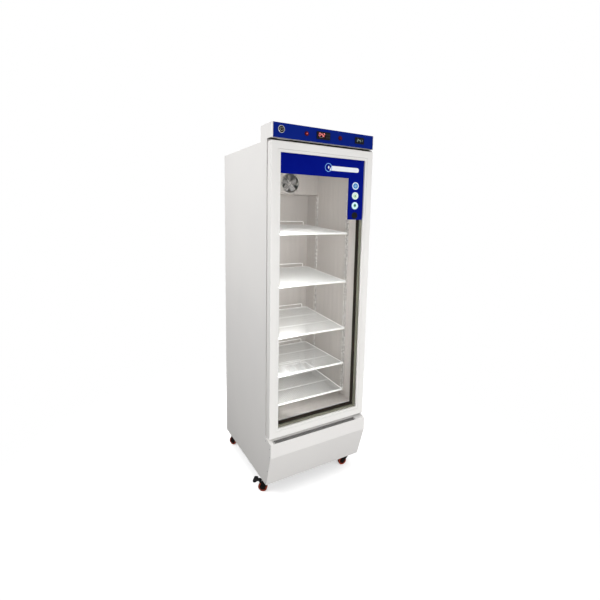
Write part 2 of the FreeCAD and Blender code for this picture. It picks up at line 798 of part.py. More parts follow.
def make_switches():
    y = header_front
    pivot_y = y + rocker_pivot_depth
    housings = []
    for x in switch_x:
        bezel = rod_y(switch_bezel_radius, y - switch_bezel_depth, y, x, panel_line_z)
        rim = [e for e in bezel.Edges if abs(e.CenterOfMass.y - y + switch_bezel_depth) < 0.01 and e.Closed]
        bezel = bezel.makeFillet(0.8, rim)
        body = rod_y(switch_body_radius, y, y + switch_body_length, x, panel_line_z)
        bore = rod_y(switch_bore_radius, y - switch_bezel_depth - 1, y + switch_bore_depth, x, panel_line_z)
        pin_bore = rod_x(rocker_pin_radius + rocker_pin_clearance, x - switch_body_radius - 1,
                         x + switch_body_radius + 1, pivot_y, panel_line_z)
        housings.append(join(bezel, body).cut([bore, pin_bore]))
    save("switch_housings", *housings)
    for name, x, tilt in (("light_switch", switch_x[0], rocker_tilt), ("power_switch", switch_x[1], -rocker_tilt)):
        rise = rocker_radius * 1.2
        valley = pivot_y - rocker_valley - rocker_pivot_depth
        crest = valley - rise * math.tan(math.radians(rocker_tilt))
        outline = ((valley, panel_line_z), (crest, panel_line_z + rise), (pivot_y + rocker_back, panel_line_z + rise),
                   (pivot_y + rocker_back, panel_line_z - rise), (crest, panel_line_z - rise))
        wedge = prism_x(outline, x - switch_body_radius, x + switch_body_radius)
        button = rod_y(rocker_radius, crest - 1, pivot_y + rocker_back, x, panel_line_z).common(wedge)
        pin = rod_x(rocker_pin_radius, x - rocker_pin_reach, x + rocker_pin_reach, pivot_y, panel_line_z)
        rocker = join(button, pin)
        rocker.rotate(Vector(x, pivot_y, panel_line_z), Vector(1, 0, 0), tilt)
        save(name, rocker)


def make_controls():
    y = header_front
    z = panel_line_z
    x = controller_x
    width, height = controller_size
    face = y - controller_bezel_depth
    bezel = rounded_plate(width, height, bezel_corner, face, y, x, z)
    body_width, body_height = controller_body
    body = box(x - body_width / 2, x + body_width / 2, y, y + controller_body_depth,
               z - body_height / 2, z + body_height / 2)
    window_width, window_height = controller_window_size
    window_x = x + controller_window_x
    recess = box(window_x - window_width / 2, window_x + window_width / 2, face - 1,
                 face + window_thickness, z - window_height / 2, z + window_height / 2)
    cuts = [recess]
    key_width, key_height = key_size
    number = 0
    for row in key_rows:
        for column in key_columns:
            number += 1
            key_x = x + column
            key_z = z + row
            gap = key_clearance
            cuts.append(box(key_x - key_width / 2 - gap, key_x + key_width / 2 + gap, face - 1,
                            face + key_pocket_depth, key_z - key_height / 2 - gap,
                            key_z + key_height / 2 + gap))
            key = box(key_x - key_width / 2, key_x + key_width / 2, face - key_proud,
                      face - key_proud + key_length, key_z - key_height / 2, key_z + key_height / 2)
            edges = [e for e in key.Edges if abs(e.CenterOfMass.y - face + key_proud) < 0.01]
            save("controller_key_" + str(number), key.makeFillet(0.4, edges))
    save("controller_housing", join(bezel, body).cut(cuts))
    controller_window = box(window_x - window_width / 2, window_x + window_width / 2, face,
                            face + window_thickness, z - window_height / 2, z + window_height / 2)

    x = thermometer_x
    width, height = thermometer_size
    face = y - thermometer_bezel_depth
    bezel = rounded_plate(width, height, bezel_corner, face, y, x, z)
    body_width, body_height = thermometer_body
    body = box(x - body_width / 2, x + body_width / 2, y, y + thermometer_body_depth,
               z - body_height / 2, z + body_height / 2)
    window_width, window_height = thermometer_window_size
    window = box(x - window_width / 2, x + window_width / 2, face,
                 face + window_thickness, z - window_height / 2, z + window_height / 2)
    save("thermometer_housing", join(bezel, body).cut(window))
    save("display_windows", controller_window, window)


def kick_outline(inset):
    """Kick panel's (y, z) outline, moved inwards by inset on its front and top."""
    run = kick_top_rear_set_back - kick_lip_set_back
    rise = kick_top_rear_z - kick_lip_z
    drop = inset * math.hypot(run, rise) / run
    lean = math.hypot(kick_bottom_set_back - kick_lip_set_back, kick_crease_z - caster_height)
    shift = inset * lean / (kick_crease_z - caster_height)
    lip_y = front + kick_lip_set_back + inset
    return (
        (front + kick_side_set_back, caster_height),
        (front + kick_bottom_set_back + shift, caster_height),
        (lip_y, kick_crease_z),
        (lip_y, kick_lip_z - drop + inset * rise / run),
        (front + kick_top_rear_set_back, kick_top_rear_z - drop),
        (front + kick_side_set_back, kick_top_rear_z - drop),
    )


def grille_tilt():
    rise = kick_top_rear_z - kick_lip_z
    return math.degrees(math.atan2(rise, kick_top_rear_set_back - kick_lip_set_back))


def place_on_kick_top(shape):
    """Turn a piece drawn flat, with y from the lip and z from the top face, onto that face."""
    shape.rotate(Vector(0, 0, 0), Vector(1, 0, 0), grille_tilt())
    return shape.translated(Vector(0, front + kick_lip_set_back, kick_lip_z))


def make_kick_panel():
    outer = prism_x(kick_outline(0), -half_width, half_width)
    inner_outline = list(kick_outline(kick_sheet))
    inner_outline[0] = (inner_outline[0][0] + 1, caster_height - 1)
    inner_outline[1] = (inner_outline[1][0], caster_height - 1)
    inner_outline[5] = (inner_outline[5][0] + 1, inner_outline[5][1])
    inner = prism_x(inner_outline, -half_width + kick_sheet, half_width - kick_sheet)
    behind_top = box(-half_width + kick_sheet, half_width - kick_sheet,
                     front + kick_top_rear_set_back, front + kick_side_set_back + 1,
                     kick_lip_z - kick_sheet, kick_top_rear_z + 1)
    y0, y1 = grille_run
    window = place_on_kick_top(box(grille_x[0], grille_x[1], y0, y1, -6, 3))
    save("kick_panel", outer.cut([inner, behind_top, window]))

    edge = [(grille_x[0], y0), (grille_x[1], y0), (grille_x[1], y1), (grille_x[0], y1)]
    wires = [loop_z(edge, -grille_plate)]
    slot_x, slot_y = grille_slot
    row_pitch = (y1 - y0) / grille_rows
    count = int((grille_x[1] - grille_x[0] - 2 * grille_lean - slot_x) / grille_pitch)
    start = (grille_x[0] + grille_x[1]) / 2 - (count - 1) * grille_pitch / 2
    for row in range(grille_rows):
        y = y0 + (row + 0.5) * row_pitch
        for i in range(count):
            x = start + i * grille_pitch
            slot = [(x - slot_x / 2 - grille_lean / 2, y - slot_y / 2),
                    (x + slot_x / 2 - grille_lean / 2, y - slot_y / 2),
                    (x + slot_x / 2 + grille_lean / 2, y + slot_y / 2),
                    (x - slot_x / 2 + grille_lean / 2, y + slot_y / 2)]
            wires.append(loop_z(slot, -grille_plate))
    plate = Part.Face(wires).extrude(Vector(0, 0, grille_plate))
    save("intake_grille", place_on_kick_top(plate))

    heads = []
    for set_back, z in kick_screws:
        head = rod_x(screw_head_radius, -half_width - screw_head_proud, -half_width, front + set_back, z)
        rim = [e for e in head.Edges if abs(e.CenterOfMass.x + half_width + screw_head_proud) < 0.01 and e.Closed]
        heads.append(head.makeFillet(screw_head_proud * 0.6, rim))
    save("kick_screws", *(heads + [mirror_x(head) for head in heads]))


def make_compressor():
    x, y = compressor_xy
    floor = caster_height + base_plate_thickness
    plate_width, plate_depth, plate_thickness = compressor_plate
    plate_z = floor + grommet_height
    r = compressor_radius
    foot_z = plate_z + plate_thickness
    outer = rod_z(r, foot_z, compressor_waist_z, x, y)
    dome = Part.makeSphere(r, Vector(0, 0, 0), Vector(0, 0, 1), 0, 90, 360)
    squash = FreeCAD.Matrix()
    squash.scale(1, 1, compressor_dome / r)
    dome = dome.transformGeometry(squash).translated(Vector(x, y, compressor_waist_z))
    hollow = rod_z(r - compressor_wall, foot_z - 1, compressor_waist_z, x, y)
    shell = join(outer, dome).cut(hollow)
    plate = box(x - plate_width / 2, x + plate_width / 2, y - plate_depth / 2, y + plate_depth / 2,
                plate_z, foot_z)
    grommets = []
    for side_x in (-1, 1):
        for side_y in (-1, 1):
            grommets.append(rod_z(grommet_radius, floor, plate_z,
                                  x + side_x * (plate_width / 2 - grommet_radius - 3),
                                  y + side_y * (plate_depth / 2 - grommet_radius - 3)))
    save("compressor", shell, plate, *grommets)


def make_condenser():
    x0, x1 = condenser_x
    y0 = front + condenser_set_back
    y1 = y0 + condenser_depth
    z0 = caster_height + base_plate_thickness
    z1 = z0 + condenser_lift + condenser_height
    coil = box(x0, x1, y0, y1, z0 + condenser_lift, z1)
    feet = [box(x, x + 20, y0, y1, z0, z0 + condenser_lift) for x in (x0, x1 - 20)]
    pitch = condenser_height / condenser_tubes
    bends = []
    for i in range(condenser_tubes):
        z = z0 + condenser_lift + (i + 0.5) * pitch
        bend = Part.makeTorus(condenser_depth / 4, coil_tube_radius, Vector(x0, (y0 + y1) / 2, z), Vector(0, 0, 1))
        bends.append(bend.common(box(x0 - condenser_depth, x0, y0, y1, z - pitch, z + pitch)))
    coil = join(coil, *(feet + bends))

    centre_x = (x0 + x1) / 2
    centre_z = z0 + condenser_lift + condenser_height / 2
    shroud = box(x0, x1, y1, y1 + shroud_sheet, z0, z1)
    ring = rod_y(shroud_ring_radius + shroud_ring_wall, y1, y1 + shroud_ring_depth, centre_x, centre_z)
    hole = rod_y(shroud_ring_radius, y1 - 1, y1 + shroud_ring_depth + 1, centre_x, centre_z)
    rotor_y = y1 + rotor_air
    hub_end = rotor_y + condenser_hub_length
    motor_y = hub_end + rotor_air + shroud_ring_depth - condenser_hub_length
    arms = []
    reach = shroud_ring_radius + shroud_ring_wall
    for side in (-1, 1):
        x_out = centre_x + side * (reach + motor_arm_width)
        arm = box(min(centre_x, x_out), max(centre_x, x_out), motor_y, motor_y + motor_arm_plate,
                  centre_z - motor_arm_width / 2, centre_z + motor_arm_width / 2)
        leg = box(min(x_out, x_out - side * motor_arm_plate), max(x_out, x_out - side * motor_arm_plate),
                  y1, motor_y + motor_arm_plate, centre_z - motor_arm_width / 2, centre_z + motor_arm_width / 2)
        arms += [arm, leg]
    motor = rod_y(condenser_motor_radius, motor_y, motor_y + condenser_motor_length, centre_x, centre_z)
    bore = rod_y(fan_shaft_radius + fan_shaft_clearance, motor_y - 1, motor_y + 22, centre_x, centre_z)
    frame = join(shroud, ring).cut(hole)
    frame = join(frame, motor, *arms).cut(bore)
    save("condenser_unit", coil, frame)

    rotor = make_rotor(condenser_rotor_radius, condenser_hub_radius, condenser_hub_length,
                       condenser_blades, 26, 46, centre_x, rotor_y, centre_z)
    rotor = join(rotor, rod_y(fan_shaft_radius, hub_end - 1, motor_y + 20, centre_x, centre_z))
    save("condenser_fan_blades", rotor)


def make_drain_pan():
    x0, x1 = drain_pan_x
    y0, y1 = drain_pan_y
    z0 = caster_height + base_plate_thickness
    s = drain_pan_sheet
    pan = box(x0, x1, y0, y1, z0, z0 + drain_pan_height)
    save("drain_pan", pan.cut(box(x0 + s, x1 - s, y0 + s, y1 - s, z0 + s, z0 + drain_pan_height + 1)))


def make_inlet():
    inner = back - outer_sheet
    thread = rod_y(inlet_thread_radius, inner - inlet_inner_length, back, inlet_x, inlet_z)
    flange = rod_y(inlet_flange_radius, back, back + inlet_flange_depth, inlet_x, inlet_z)
    nose = rod_y(inlet_nose_radius, back + inlet_flange_depth,
                 back + inlet_flange_depth + inlet_nose_length, inlet_x, inlet_z)
    nut = rod_y(inlet_nut_radius, inner - inlet_nut_depth, inner, inlet_x, inlet_z)
    bore = rod_y(inlet_bore_radius, inner - inlet_inner_length - 1, back + 40, inlet_x, inlet_z)
    save("cord_inlet", join(thread, flange, nose, nut).cut(bore))


def blocks_round_pocket(strip, pocket):
    """The strip as five blocks that leave the pocket free: before, behind, beside and under it."""
    whole = strip.BoundBox
    hole = pocket.BoundBox
    x0, x1 = whole.XMin - 1, whole.XMax + 1
    y0, y1 = whole.YMin - 1, whole.YMax + 1
    z0, z1 = whole.ZMin - 1, whole.ZMax + 1
    zones = [
        box(x0, x1, y0, hole.YMin, z0, z1),
        box(x0, x1, hole.YMax, y1, z0, z1),
        box(x0, hole.XMin, hole.YMin, hole.YMax, z0, z1),
        box(hole.XMax, x1, hole.YMin, hole.YMax, z0, z1),
        box(hole.XMin, hole.XMax, hole.YMin, hole.YMax, z0, hole.ZMin),
    ]
    return [strip.common(zone) for zone in zones]


def make_door():
    x = door_half_width
    z0 = door_bottom_z
    z1 = door_top_z
    y0 = front
    y1 = front + door_thickness
    w = stile_width
    block = box(-x, x, y0, y1, z0, z1)
    edges = []
    for edge in block.Edges:
        centre = edge.CenterOfMass
        direction = edge.tangentAt(edge.FirstParameter)
        if abs(centre.y - y0) < 0.01 or abs(direction.y) > 0.9:
            edges.append(edge)
    rounded = block.makeFillet(door_edge_radius, edges)
    cuts = []
    hinge_x = half_width - hinge_edge - door_side_gap
    hinge_y = front + hinge_set_back
    bore_radius = hinge_pin_radius + hinge_pin_clearance
    bore_depth = hinge_pin_length + 2
    cuts.append(rod_z(bore_radius, z0 - 1, z0 + bore_depth, hinge_x, hinge_y))
    cuts.append(rod_z(bore_radius, z1 - bore_depth, z1 + 1, hinge_x, hinge_y))
    pocket_floor = lock_z - lock_cam_reach + lock_cam_width / 2 - lock_pocket_air
    solids = []
    for strip in mitred_ring(x, z0, z1, w, y0, y1):
        shaped = strip.common(rounded).cut(cuts)
        if strip.BoundBox.ZMin > z1 - w - 1:
            solids.extend(blocks_round_pocket(shaped, lock_slot(pocket_floor, z1, z1)))
        else:
            solids.append(shaped)
    for z in door_screw_z:
        head = rod_x(door_screw_head, -x - door_screw_proud, -x, front + door_screw_set_back, z)
        rim = [e for e in head.Edges if abs(e.CenterOfMass.x + x + door_screw_proud) < 0.01 and e.Closed]
        solids.append(head.makeFillet(door_screw_proud * 0.5, rim))
    save("door_frame", *solids)

    gap = bead_joint_gap
    bead_out = x - w - gap
    bead_y0 = y0 + bead_set_back
    bead_y1 = y0 + glass_set_back
    beads = mitred_ring(bead_out, z0 + w + gap, z1 - w - gap, bead_width - gap, bead_y0, bead_y1)
    save("glazing_bead", *beads)

    glass_x = x - sight_edge + glass_cover
    glass_z0 = z0 + sight_edge - glass_cover
    glass_z1 = z1 - sight_edge + glass_cover
    rear_glass_y = bead_y1 + glass_thickness + spacer_depth
    front_glass = box(-glass_x, glass_x, bead_y1, bead_y1 + glass_thickness, glass_z0, glass_z1)
    rear_glass = box(-glass_x, glass_x, rear_glass_y, rear_glass_y + glass_thickness, glass_z0, glass_z1)
    save("glass_panes", front_glass, rear_glass)

    spacer_in = x - sight_edge - spacer_inside_sight
    spacer_out = spacer_in + spacer_wall
    inset = sight_edge + spacer_inside_sight - spacer_wall
    spacer = mitred_ring(spacer_out, z0 + inset, z1 - inset, spacer_wall,
                         bead_y1 + glass_thickness, rear_glass_y)
    save("glass_spacer", *spacer)

    carrier_y0 = rear_glass_y + glass_thickness
    carrier = mitred_ring(x - w, z0 + w, z1 - w, bead_width + carrier_reach, carrier_y0, y1)
    lip_edge = gasket_edge
    lip = mitred_ring(x - lip_edge, z0 + lip_edge, z1 - lip_edge, gasket_width,
                      y1, y1 + gasket_gap - gasket_clearance)
    save("door_gasket", *(carrier + lip))

    sight_x = x - sight_edge
    sight_top = z1 - sight_edge
    band = box(-sight_x, sight_x, bead_y1 - decal_thickness, bead_y1, sight_top - decal_band_height, sight_top)
    strip = box(sight_x - decal_strip_width, sight_x, bead_y1 - decal_thickness, bead_y1,
                sight_top - decal_strip_height, sight_top)
    save("door_decal", join(band, strip))


def make_hinges():
    hinge_x = half_width - hinge_edge - door_side_gap
    hinge_y = front + hinge_set_back
    x1 = half_width - hinge_inset
    x0 = x1 - hinge_width
    pin_r = hinge_pin_radius

    top_z = door_top_z + hinge_air
    arm = box(x0, x1, front + hinge_nose, cabinet_face, top_z, top_z + hinge_plate)
    flange = box(x0, x1, cabinet_face - hinge_flange, cabinet_face,
                 top_z + hinge_plate - hinge_flange_height, top_z + hinge_plate)
    pin = rod_z(pin_r, door_top_z - hinge_pin_length, top_z + 1, hinge_x, hinge_y)
    collar = rod_z(hinge_collar_radius, door_top_z + hinge_collar_air, top_z + 1, hinge_x, hinge_y)
    top = join(arm, flange, pin, collar)

    low_z = door_bottom_z - hinge_air
    arm = box(x0, x1, front + hinge_nose, cabinet_face, low_z - hinge_plate, low_z)
    flange = box(x0, x1, cabinet_face - hinge_flange, cabinet_face, low_z - hinge_flange_height, low_z)
    pin = rod_z(pin_r, low_z - 1, door_bottom_z + hinge_pin_length, hinge_x, hinge_y)
    collar = rod_z(hinge_collar_radius, low_z - 1, door_bottom_z - hinge_collar_air, hinge_x, hinge_y)
    bottom = join(arm, flange, pin, collar)
    save("hinge_brackets", top, bottom)


def caster_place(key):
    x = -caster_x if key[1] == "l" else caster_x
    set_back = caster_front_set_back if key[0] == "f" else caster_rear_set_back
    return x, front + set_back


def make_caster_plate(x, y):
    top = caster_height
    width, plate = caster_plate
    plate_solid = box(x - width / 2, x + width / 2, y - width / 2, y + width / 2, top - plate, top)
    race_bottom = top - plate - caster_race_depth
    race = rod_z(caster_race_radius, race_bottom, top - plate, x, y)
    fork_bottom = race_bottom - caster_fork_air - caster_fork_plate
    pin = rod_z(kingpin_radius, fork_bottom - caster_fork_air, race_bottom, x, y)
    head = rod_z(kingpin_head_radius, fork_bottom - caster_fork_air - kingpin_head_depth,
                 fork_bottom - caster_fork_air, x, y)
    return join(plate_solid, race, pin, head), race_bottom - caster_fork_air


def make_fork(with_ears, fork_top):
    """Fork drawn round the origin, trailing along +X."""
    bottom = fork_top - caster_fork_plate
    half_inside = wheel_width / 2 + wheel_hub_proud + wheel_side_gap
    half_outside = half_inside + fork_leg_plate
    crown = rod_z(caster_fork_radius, bottom, fork_top, 0, 0)
    bridge = box(0, caster_trail, -half_outside, half_outside, bottom, fork_top)
    pieces = [bridge]
    for side in (-1, 1):
        y0 = min(side * half_inside, side * half_outside)
        outline = ((-6, bottom + 1), (caster_trail + 6, bottom + 1),
                   (caster_trail + fork_leg_boss, wheel_radius), (caster_trail + 4, wheel_radius - fork_leg_boss),
                   (caster_trail - 4, wheel_radius - fork_leg_boss), (caster_trail - fork_leg_boss, wheel_radius))
        pieces.append(prism_y(outline, y0, y0 + fork_leg_plate))
        if with_ears:
            ear_x, ear_z = pedal_pivot
            ear = rod_y(pedal_ear_radius, y0, y0 + fork_leg_plate, ear_x, ear_z)
            web = prism_y(((caster_trail - 8, bottom + 1), (caster_trail - 8, bottom - 14),
                           (ear_x, ear_z - pedal_ear_radius), (ear_x, bottom + 1)), y0, y0 + fork_leg_plate)
            pieces += [ear, web]
    axle = rod_y(axle_radius, -half_outside - axle_nut_depth, half_outside + axle_nut_depth,
                 caster_trail, wheel_radius)
    nuts = [rod_y(axle_nut_radius, half_outside, half_outside + axle_nut_depth, caster_trail, wheel_radius),
            rod_y(axle_nut_radius, -half_outside - axle_nut_depth, -half_outside, caster_trail, wheel_radius)]
    fork = join(crown, *(pieces + [axle] + nuts))
    cuts = [rod_z(kingpin_radius + kingpin_clearance, bottom - 1, fork_top + 1, 0, 0)]
    if with_ears:
        ear_x, ear_z = pedal_pivot
        cuts.append(rod_y(pedal_pin_radius + pedal_pin_clearance, -half_outside - 1, half_outside + 1, ear_x, ear_z))
    return fork.cut(cuts)


def make_wheel():
    half = wheel_width / 2
    wheel = rod_y(wheel_radius, -half, half, caster_trail, wheel_radius)
    rims = [e for e in wheel.Edges if e.Closed and abs(abs(e.CenterOfMass.y) - half) < 0.01]
    wheel = wheel.makeFillet(wheel_edge, rims)
    hub = rod_y(wheel_hub_radius, -half - wheel_hub_proud, half + wheel_hub_proud, caster_trail, wheel_radius)
    bore = rod_y(axle_radius + axle_clearance, -half - 2, half + 2, caster_trail, wheel_radius)
    return join(wheel, hub).cut(bore)


def make_pedal():
    half_inside = wheel_width / 2 + wheel_hub_proud + wheel_side_gap
    half_outside = half_inside + fork_leg_plate
    px, pz = pedal_pivot
    half = half_inside - pedal_side_air
    hub = rod_y(pedal_hub_radius, -half, half, px, pz)
    lever = prism_y(((px, pz + pedal_hub_radius), (px, pz + pedal_hub_radius - pedal_plate),
                     (pedal_reach - 10, pz - pedal_tip_drop), (pedal_reach, pz - pedal_tip_drop + 4),
                     (pedal_reach - 2, pz + pedal_hub_radius - 1)), -half, half)
    tread_x = px + pedal_tread_from
    tread = prism_y(((tread_x, pz + pedal_hub_radius - pedal_plate), (pedal_reach - 10, pz - pedal_tip_drop),
                     (pedal_reach, pz - pedal_tip_drop + 4), (pedal_reach - 2, pz + pedal_hub_radius - 1),
                     (tread_x, pz + pedal_hub_radius)), -pedal_width / 2, pedal_width / 2)
    outline = box(tread_x, pedal_reach, -pedal_width / 2, pedal_width / 2, pz - wheel_radius, pz + wheel_radius)
    corners = [e for e in outline.Edges if e.BoundBox.ZLength > wheel_radius]
    tread = tread.common(outline.makeFillet(pedal_corner, corners))
    pin = rod_y(pedal_pin_radius, -half_outside, half_outside, px, pz)
    lobe = box(0, pedal_lobe_reach, -half, half, -pedal_lobe_width / 2, pedal_lobe_width / 2)
    towards_wheel = math.degrees(math.atan2(pz - wheel_radius, px - caster_trail))
    lobe.rotate(Vector(0, 0, 0), Vector(0, 1, 0), 180 - towards_wheel - pedal_travel)
    lobe = lobe.translated(Vector(px, 0, pz))
    return join(hub, lever, tread, pin, lobe)


def make_casters():
    plates = []
    fork_top = 0
    for key in caster_heading:
        x, y = caster_place(key)
        plate, fork_top = make_caster_plate(x, y)
        plates.append(plate)
    save("caster_plates", *plates)
    wheel = make_wheel()
    for key, heading in caster_heading.items():
        x, y = caster_place(key)
        braked = key == "fl"
        pieces = [("caster_fork_" + key, make_fork(braked, fork_top)), ("caster_wheel_" + key, wheel.copy())]
        if braked:
            pieces.append(("brake_pedal_" + key, make_pedal()))
        for name, shape in pieces:
            shape.rotate(Vector(0, 0, 0), Vector(0, 0, 1), heading)
            save(name, shape.translated(Vector(x, y, 0)))


make_outer_panels()
make_insulation()
make_shelf_supports()
make_shelves()
make_evaporator()
make_lamp()
make_header()
make_lock()
make_switches()
make_controls()
make_kick_panel()
make_compressor()
make_condenser()
make_drain_pan()
make_inlet()
make_door()
make_hinges()
make_casters()
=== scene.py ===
import json
import math

import bpy
import numpy as np
from mathutils import Matrix, Vector


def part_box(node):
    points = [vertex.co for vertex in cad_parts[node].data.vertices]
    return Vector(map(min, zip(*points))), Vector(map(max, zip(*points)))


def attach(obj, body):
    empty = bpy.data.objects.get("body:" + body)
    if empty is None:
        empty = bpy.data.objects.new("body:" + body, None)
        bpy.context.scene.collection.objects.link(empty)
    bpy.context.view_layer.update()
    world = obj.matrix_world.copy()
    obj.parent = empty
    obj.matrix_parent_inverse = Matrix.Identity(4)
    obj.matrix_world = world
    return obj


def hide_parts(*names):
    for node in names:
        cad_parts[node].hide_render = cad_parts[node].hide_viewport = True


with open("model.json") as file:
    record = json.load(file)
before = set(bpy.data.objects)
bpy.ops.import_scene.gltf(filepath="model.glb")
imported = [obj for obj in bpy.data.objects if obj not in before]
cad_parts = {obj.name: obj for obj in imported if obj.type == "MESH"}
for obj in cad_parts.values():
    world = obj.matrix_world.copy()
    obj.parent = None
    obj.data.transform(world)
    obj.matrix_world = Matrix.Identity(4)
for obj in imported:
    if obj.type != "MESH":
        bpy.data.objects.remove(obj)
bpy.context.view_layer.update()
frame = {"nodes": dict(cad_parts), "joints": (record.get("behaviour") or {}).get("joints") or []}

# Look of an upright laboratory refrigerator. Metres, +Z up, the door faces -Y.

scene = bpy.context.scene
joints = {joint["name"]: joint for joint in frame["joints"]}
print("frame loaded,", len(frame["nodes"]), "nodes")


# Shapes from arrays

def low(node):
    return np.array(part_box(node)[0])


def high(node):
    return np.array(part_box(node)[1])


# Every point of a node's mesh, as rows of x, y and z.
def nodePoints(node):
    mesh = frame["nodes"][node].data
    points = np.empty(len(mesh.vertices) * 3)
    mesh.vertices.foreach_get("co", points)
    return points.reshape(-1, 3)


# One object from points and faces, with its looks by name, which rides on a body.
def meshPiece(name, points, faces, lookNames, body, slot, smooth=True, groups=None):
    mesh = bpy.data.meshes.new(name)
    faces = [tuple(int(i) for i in face) for face in faces]
    mesh.from_pydata(np.asarray(points, dtype=float).tolist(), [], faces)
    for item in lookNames:
        mesh.materials.append(looks[item])
    if groups is not None:
        mesh.polygons.foreach_set("material_index", np.asarray(groups, dtype=np.int32))
    mesh.polygons.foreach_set("use_smooth", np.full(len(mesh.polygons), bool(smooth)))
    mesh.validate()
    mesh.update()
    piece = bpy.data.objects.new(name, mesh)
    scene.collection.objects.link(piece)
    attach(piece, body)
    return piece


# One sharp-edged object from several plates.
def platePiece(name, parts, look, body, slot):
    return meshPiece(name, *joined(parts), [look], body, slot, smooth=False)


# One set of points and faces from several: each part's faces count on from the points before it.
def joined(parts):
    points, faces, start = [], [], 0
    for partPoints, partFaces in parts:
        points.append(np.asarray(partPoints, dtype=float))
        faces.extend([tuple(int(i) + start for i in face) for face in partFaces])
        start += len(partPoints)
    return np.concatenate(points), faces


# Four-sided faces of a grid whose point number is row * columns + column, joined end to end where asked.
def gridFaces(rows, columns, wrapColumns=False):
    across = columns if wrapColumns else columns - 1
    row, column = np.meshgrid(np.arange(rows - 1), np.arange(across), indexing="ij")
    corner, beside = row * columns + column, row * columns + (column + 1) % columns
    return np.stack([corner, beside, beside + columns, corner + columns], axis=-1).reshape(-1, 4)


# Faces of a slab of n front points and then n back points: the front, the back turned round, and the edges.
def slabFaces(n):
    faces = [tuple(range(n)), tuple(range(2 * n - 1, n - 1, -1))]
    return faces + [(i, i + n, (i + 1) % n + n, (i + 1) % n) for i in range(n)]


# Profile of (radius, height) turned about Z: x = radius * cos(turn), y = radius * sin(turn), z = height.
def turned(profile, steps=48):
    profile = np.asarray(profile, dtype=float)
    turn = np.linspace(0, 2 * math.pi, steps, endpoint=False)
    radius = profile[:, 0][:, None]
    height = np.repeat(profile[:, 1][:, None], steps, axis=1)
    points = np.stack([radius * np.cos(turn), radius * np.sin(turn), height], axis=-1)
    return points.reshape(-1, 3), gridFaces(len(profile), steps, wrapColumns=True)


# Points drawn about Z, turned so that Z points along the axis, then moved to the centre.
def toAxis(points, axis, centre):
    turn = np.array(Vector((0, 0, 1)).rotation_difference(Vector(axis)).to_matrix())
    return np.asarray(points) @ turn.T + np.asarray(centre)


# Plate of an (x, z) outline that runs anticlockwise seen from -Y: one side at y, the other at y + thickness.
def flatShape(outline, y, thickness):
    outline = np.asarray(outline, dtype=float)
    front = np.column_stack([outline[:, 0], np.full(len(outline), y), outline[:, 1]])
    return np.concatenate([front, front + np.array([0, thickness, 0])]), slabFaces(len(outline))


# Corners of an upright rectangle in (x, z).
def rectangle(x0, x1, z0, z1):
    return [(x0, z0), (x1, z0), (x1, z1), (x0, z1)]


# Flat ring with its face at y: a square profile turned about the Y axis through (x, z).
def ringShape(x, z, outer, inner, y, thickness, steps=48):
    profile = [(inner, 0), (outer, 0), (outer, thickness), (inner, thickness), (inner, 0)]
    points, faces = turned(profile, steps)
    return np.column_stack([points[:, 0] + x, y + points[:, 2], points[:, 1] + z]), faces[:, ::-1]


# Profile of (inset, y) carried round a rectangle: each corner lies inset from both of its sides.
def sweptFrame(profile, x0, x1, z0, z1):
    profile = np.asarray(profile, dtype=float)
    inset, y = profile[:, 0], profile[:, 1]
    corners = rectangle(x0 + inset, x1 - inset, z0 + inset, z1 - inset)
    points = np.stack([np.column_stack([x, y, z]) for x, z in corners], axis=1)
    return points.reshape(-1, 3), gridFaces(len(profile), 4, wrapColumns=True)


# Round or oval outline: x = wide * radius * cos(turn), z = radius * sin(turn).
def discOutline(x, z, radius, wide=1.0, steps=40):
    turn = np.linspace(0, 2 * math.pi, steps, endpoint=False)
    return np.column_stack([x + wide * radius * np.cos(turn), z + radius * np.sin(turn)])


# Finishes

# Adds a shader node with its settings, and constants on its sockets by their names or numbers.
def addNode(nodes, kind, constants=None, **settings):
    item = nodes.new("ShaderNode" + kind)
    for key, value in settings.items():
        setattr(item, key, value)
    for socket, value in (constants or {}).items():
        item.inputs[socket].default_value = value
    return item


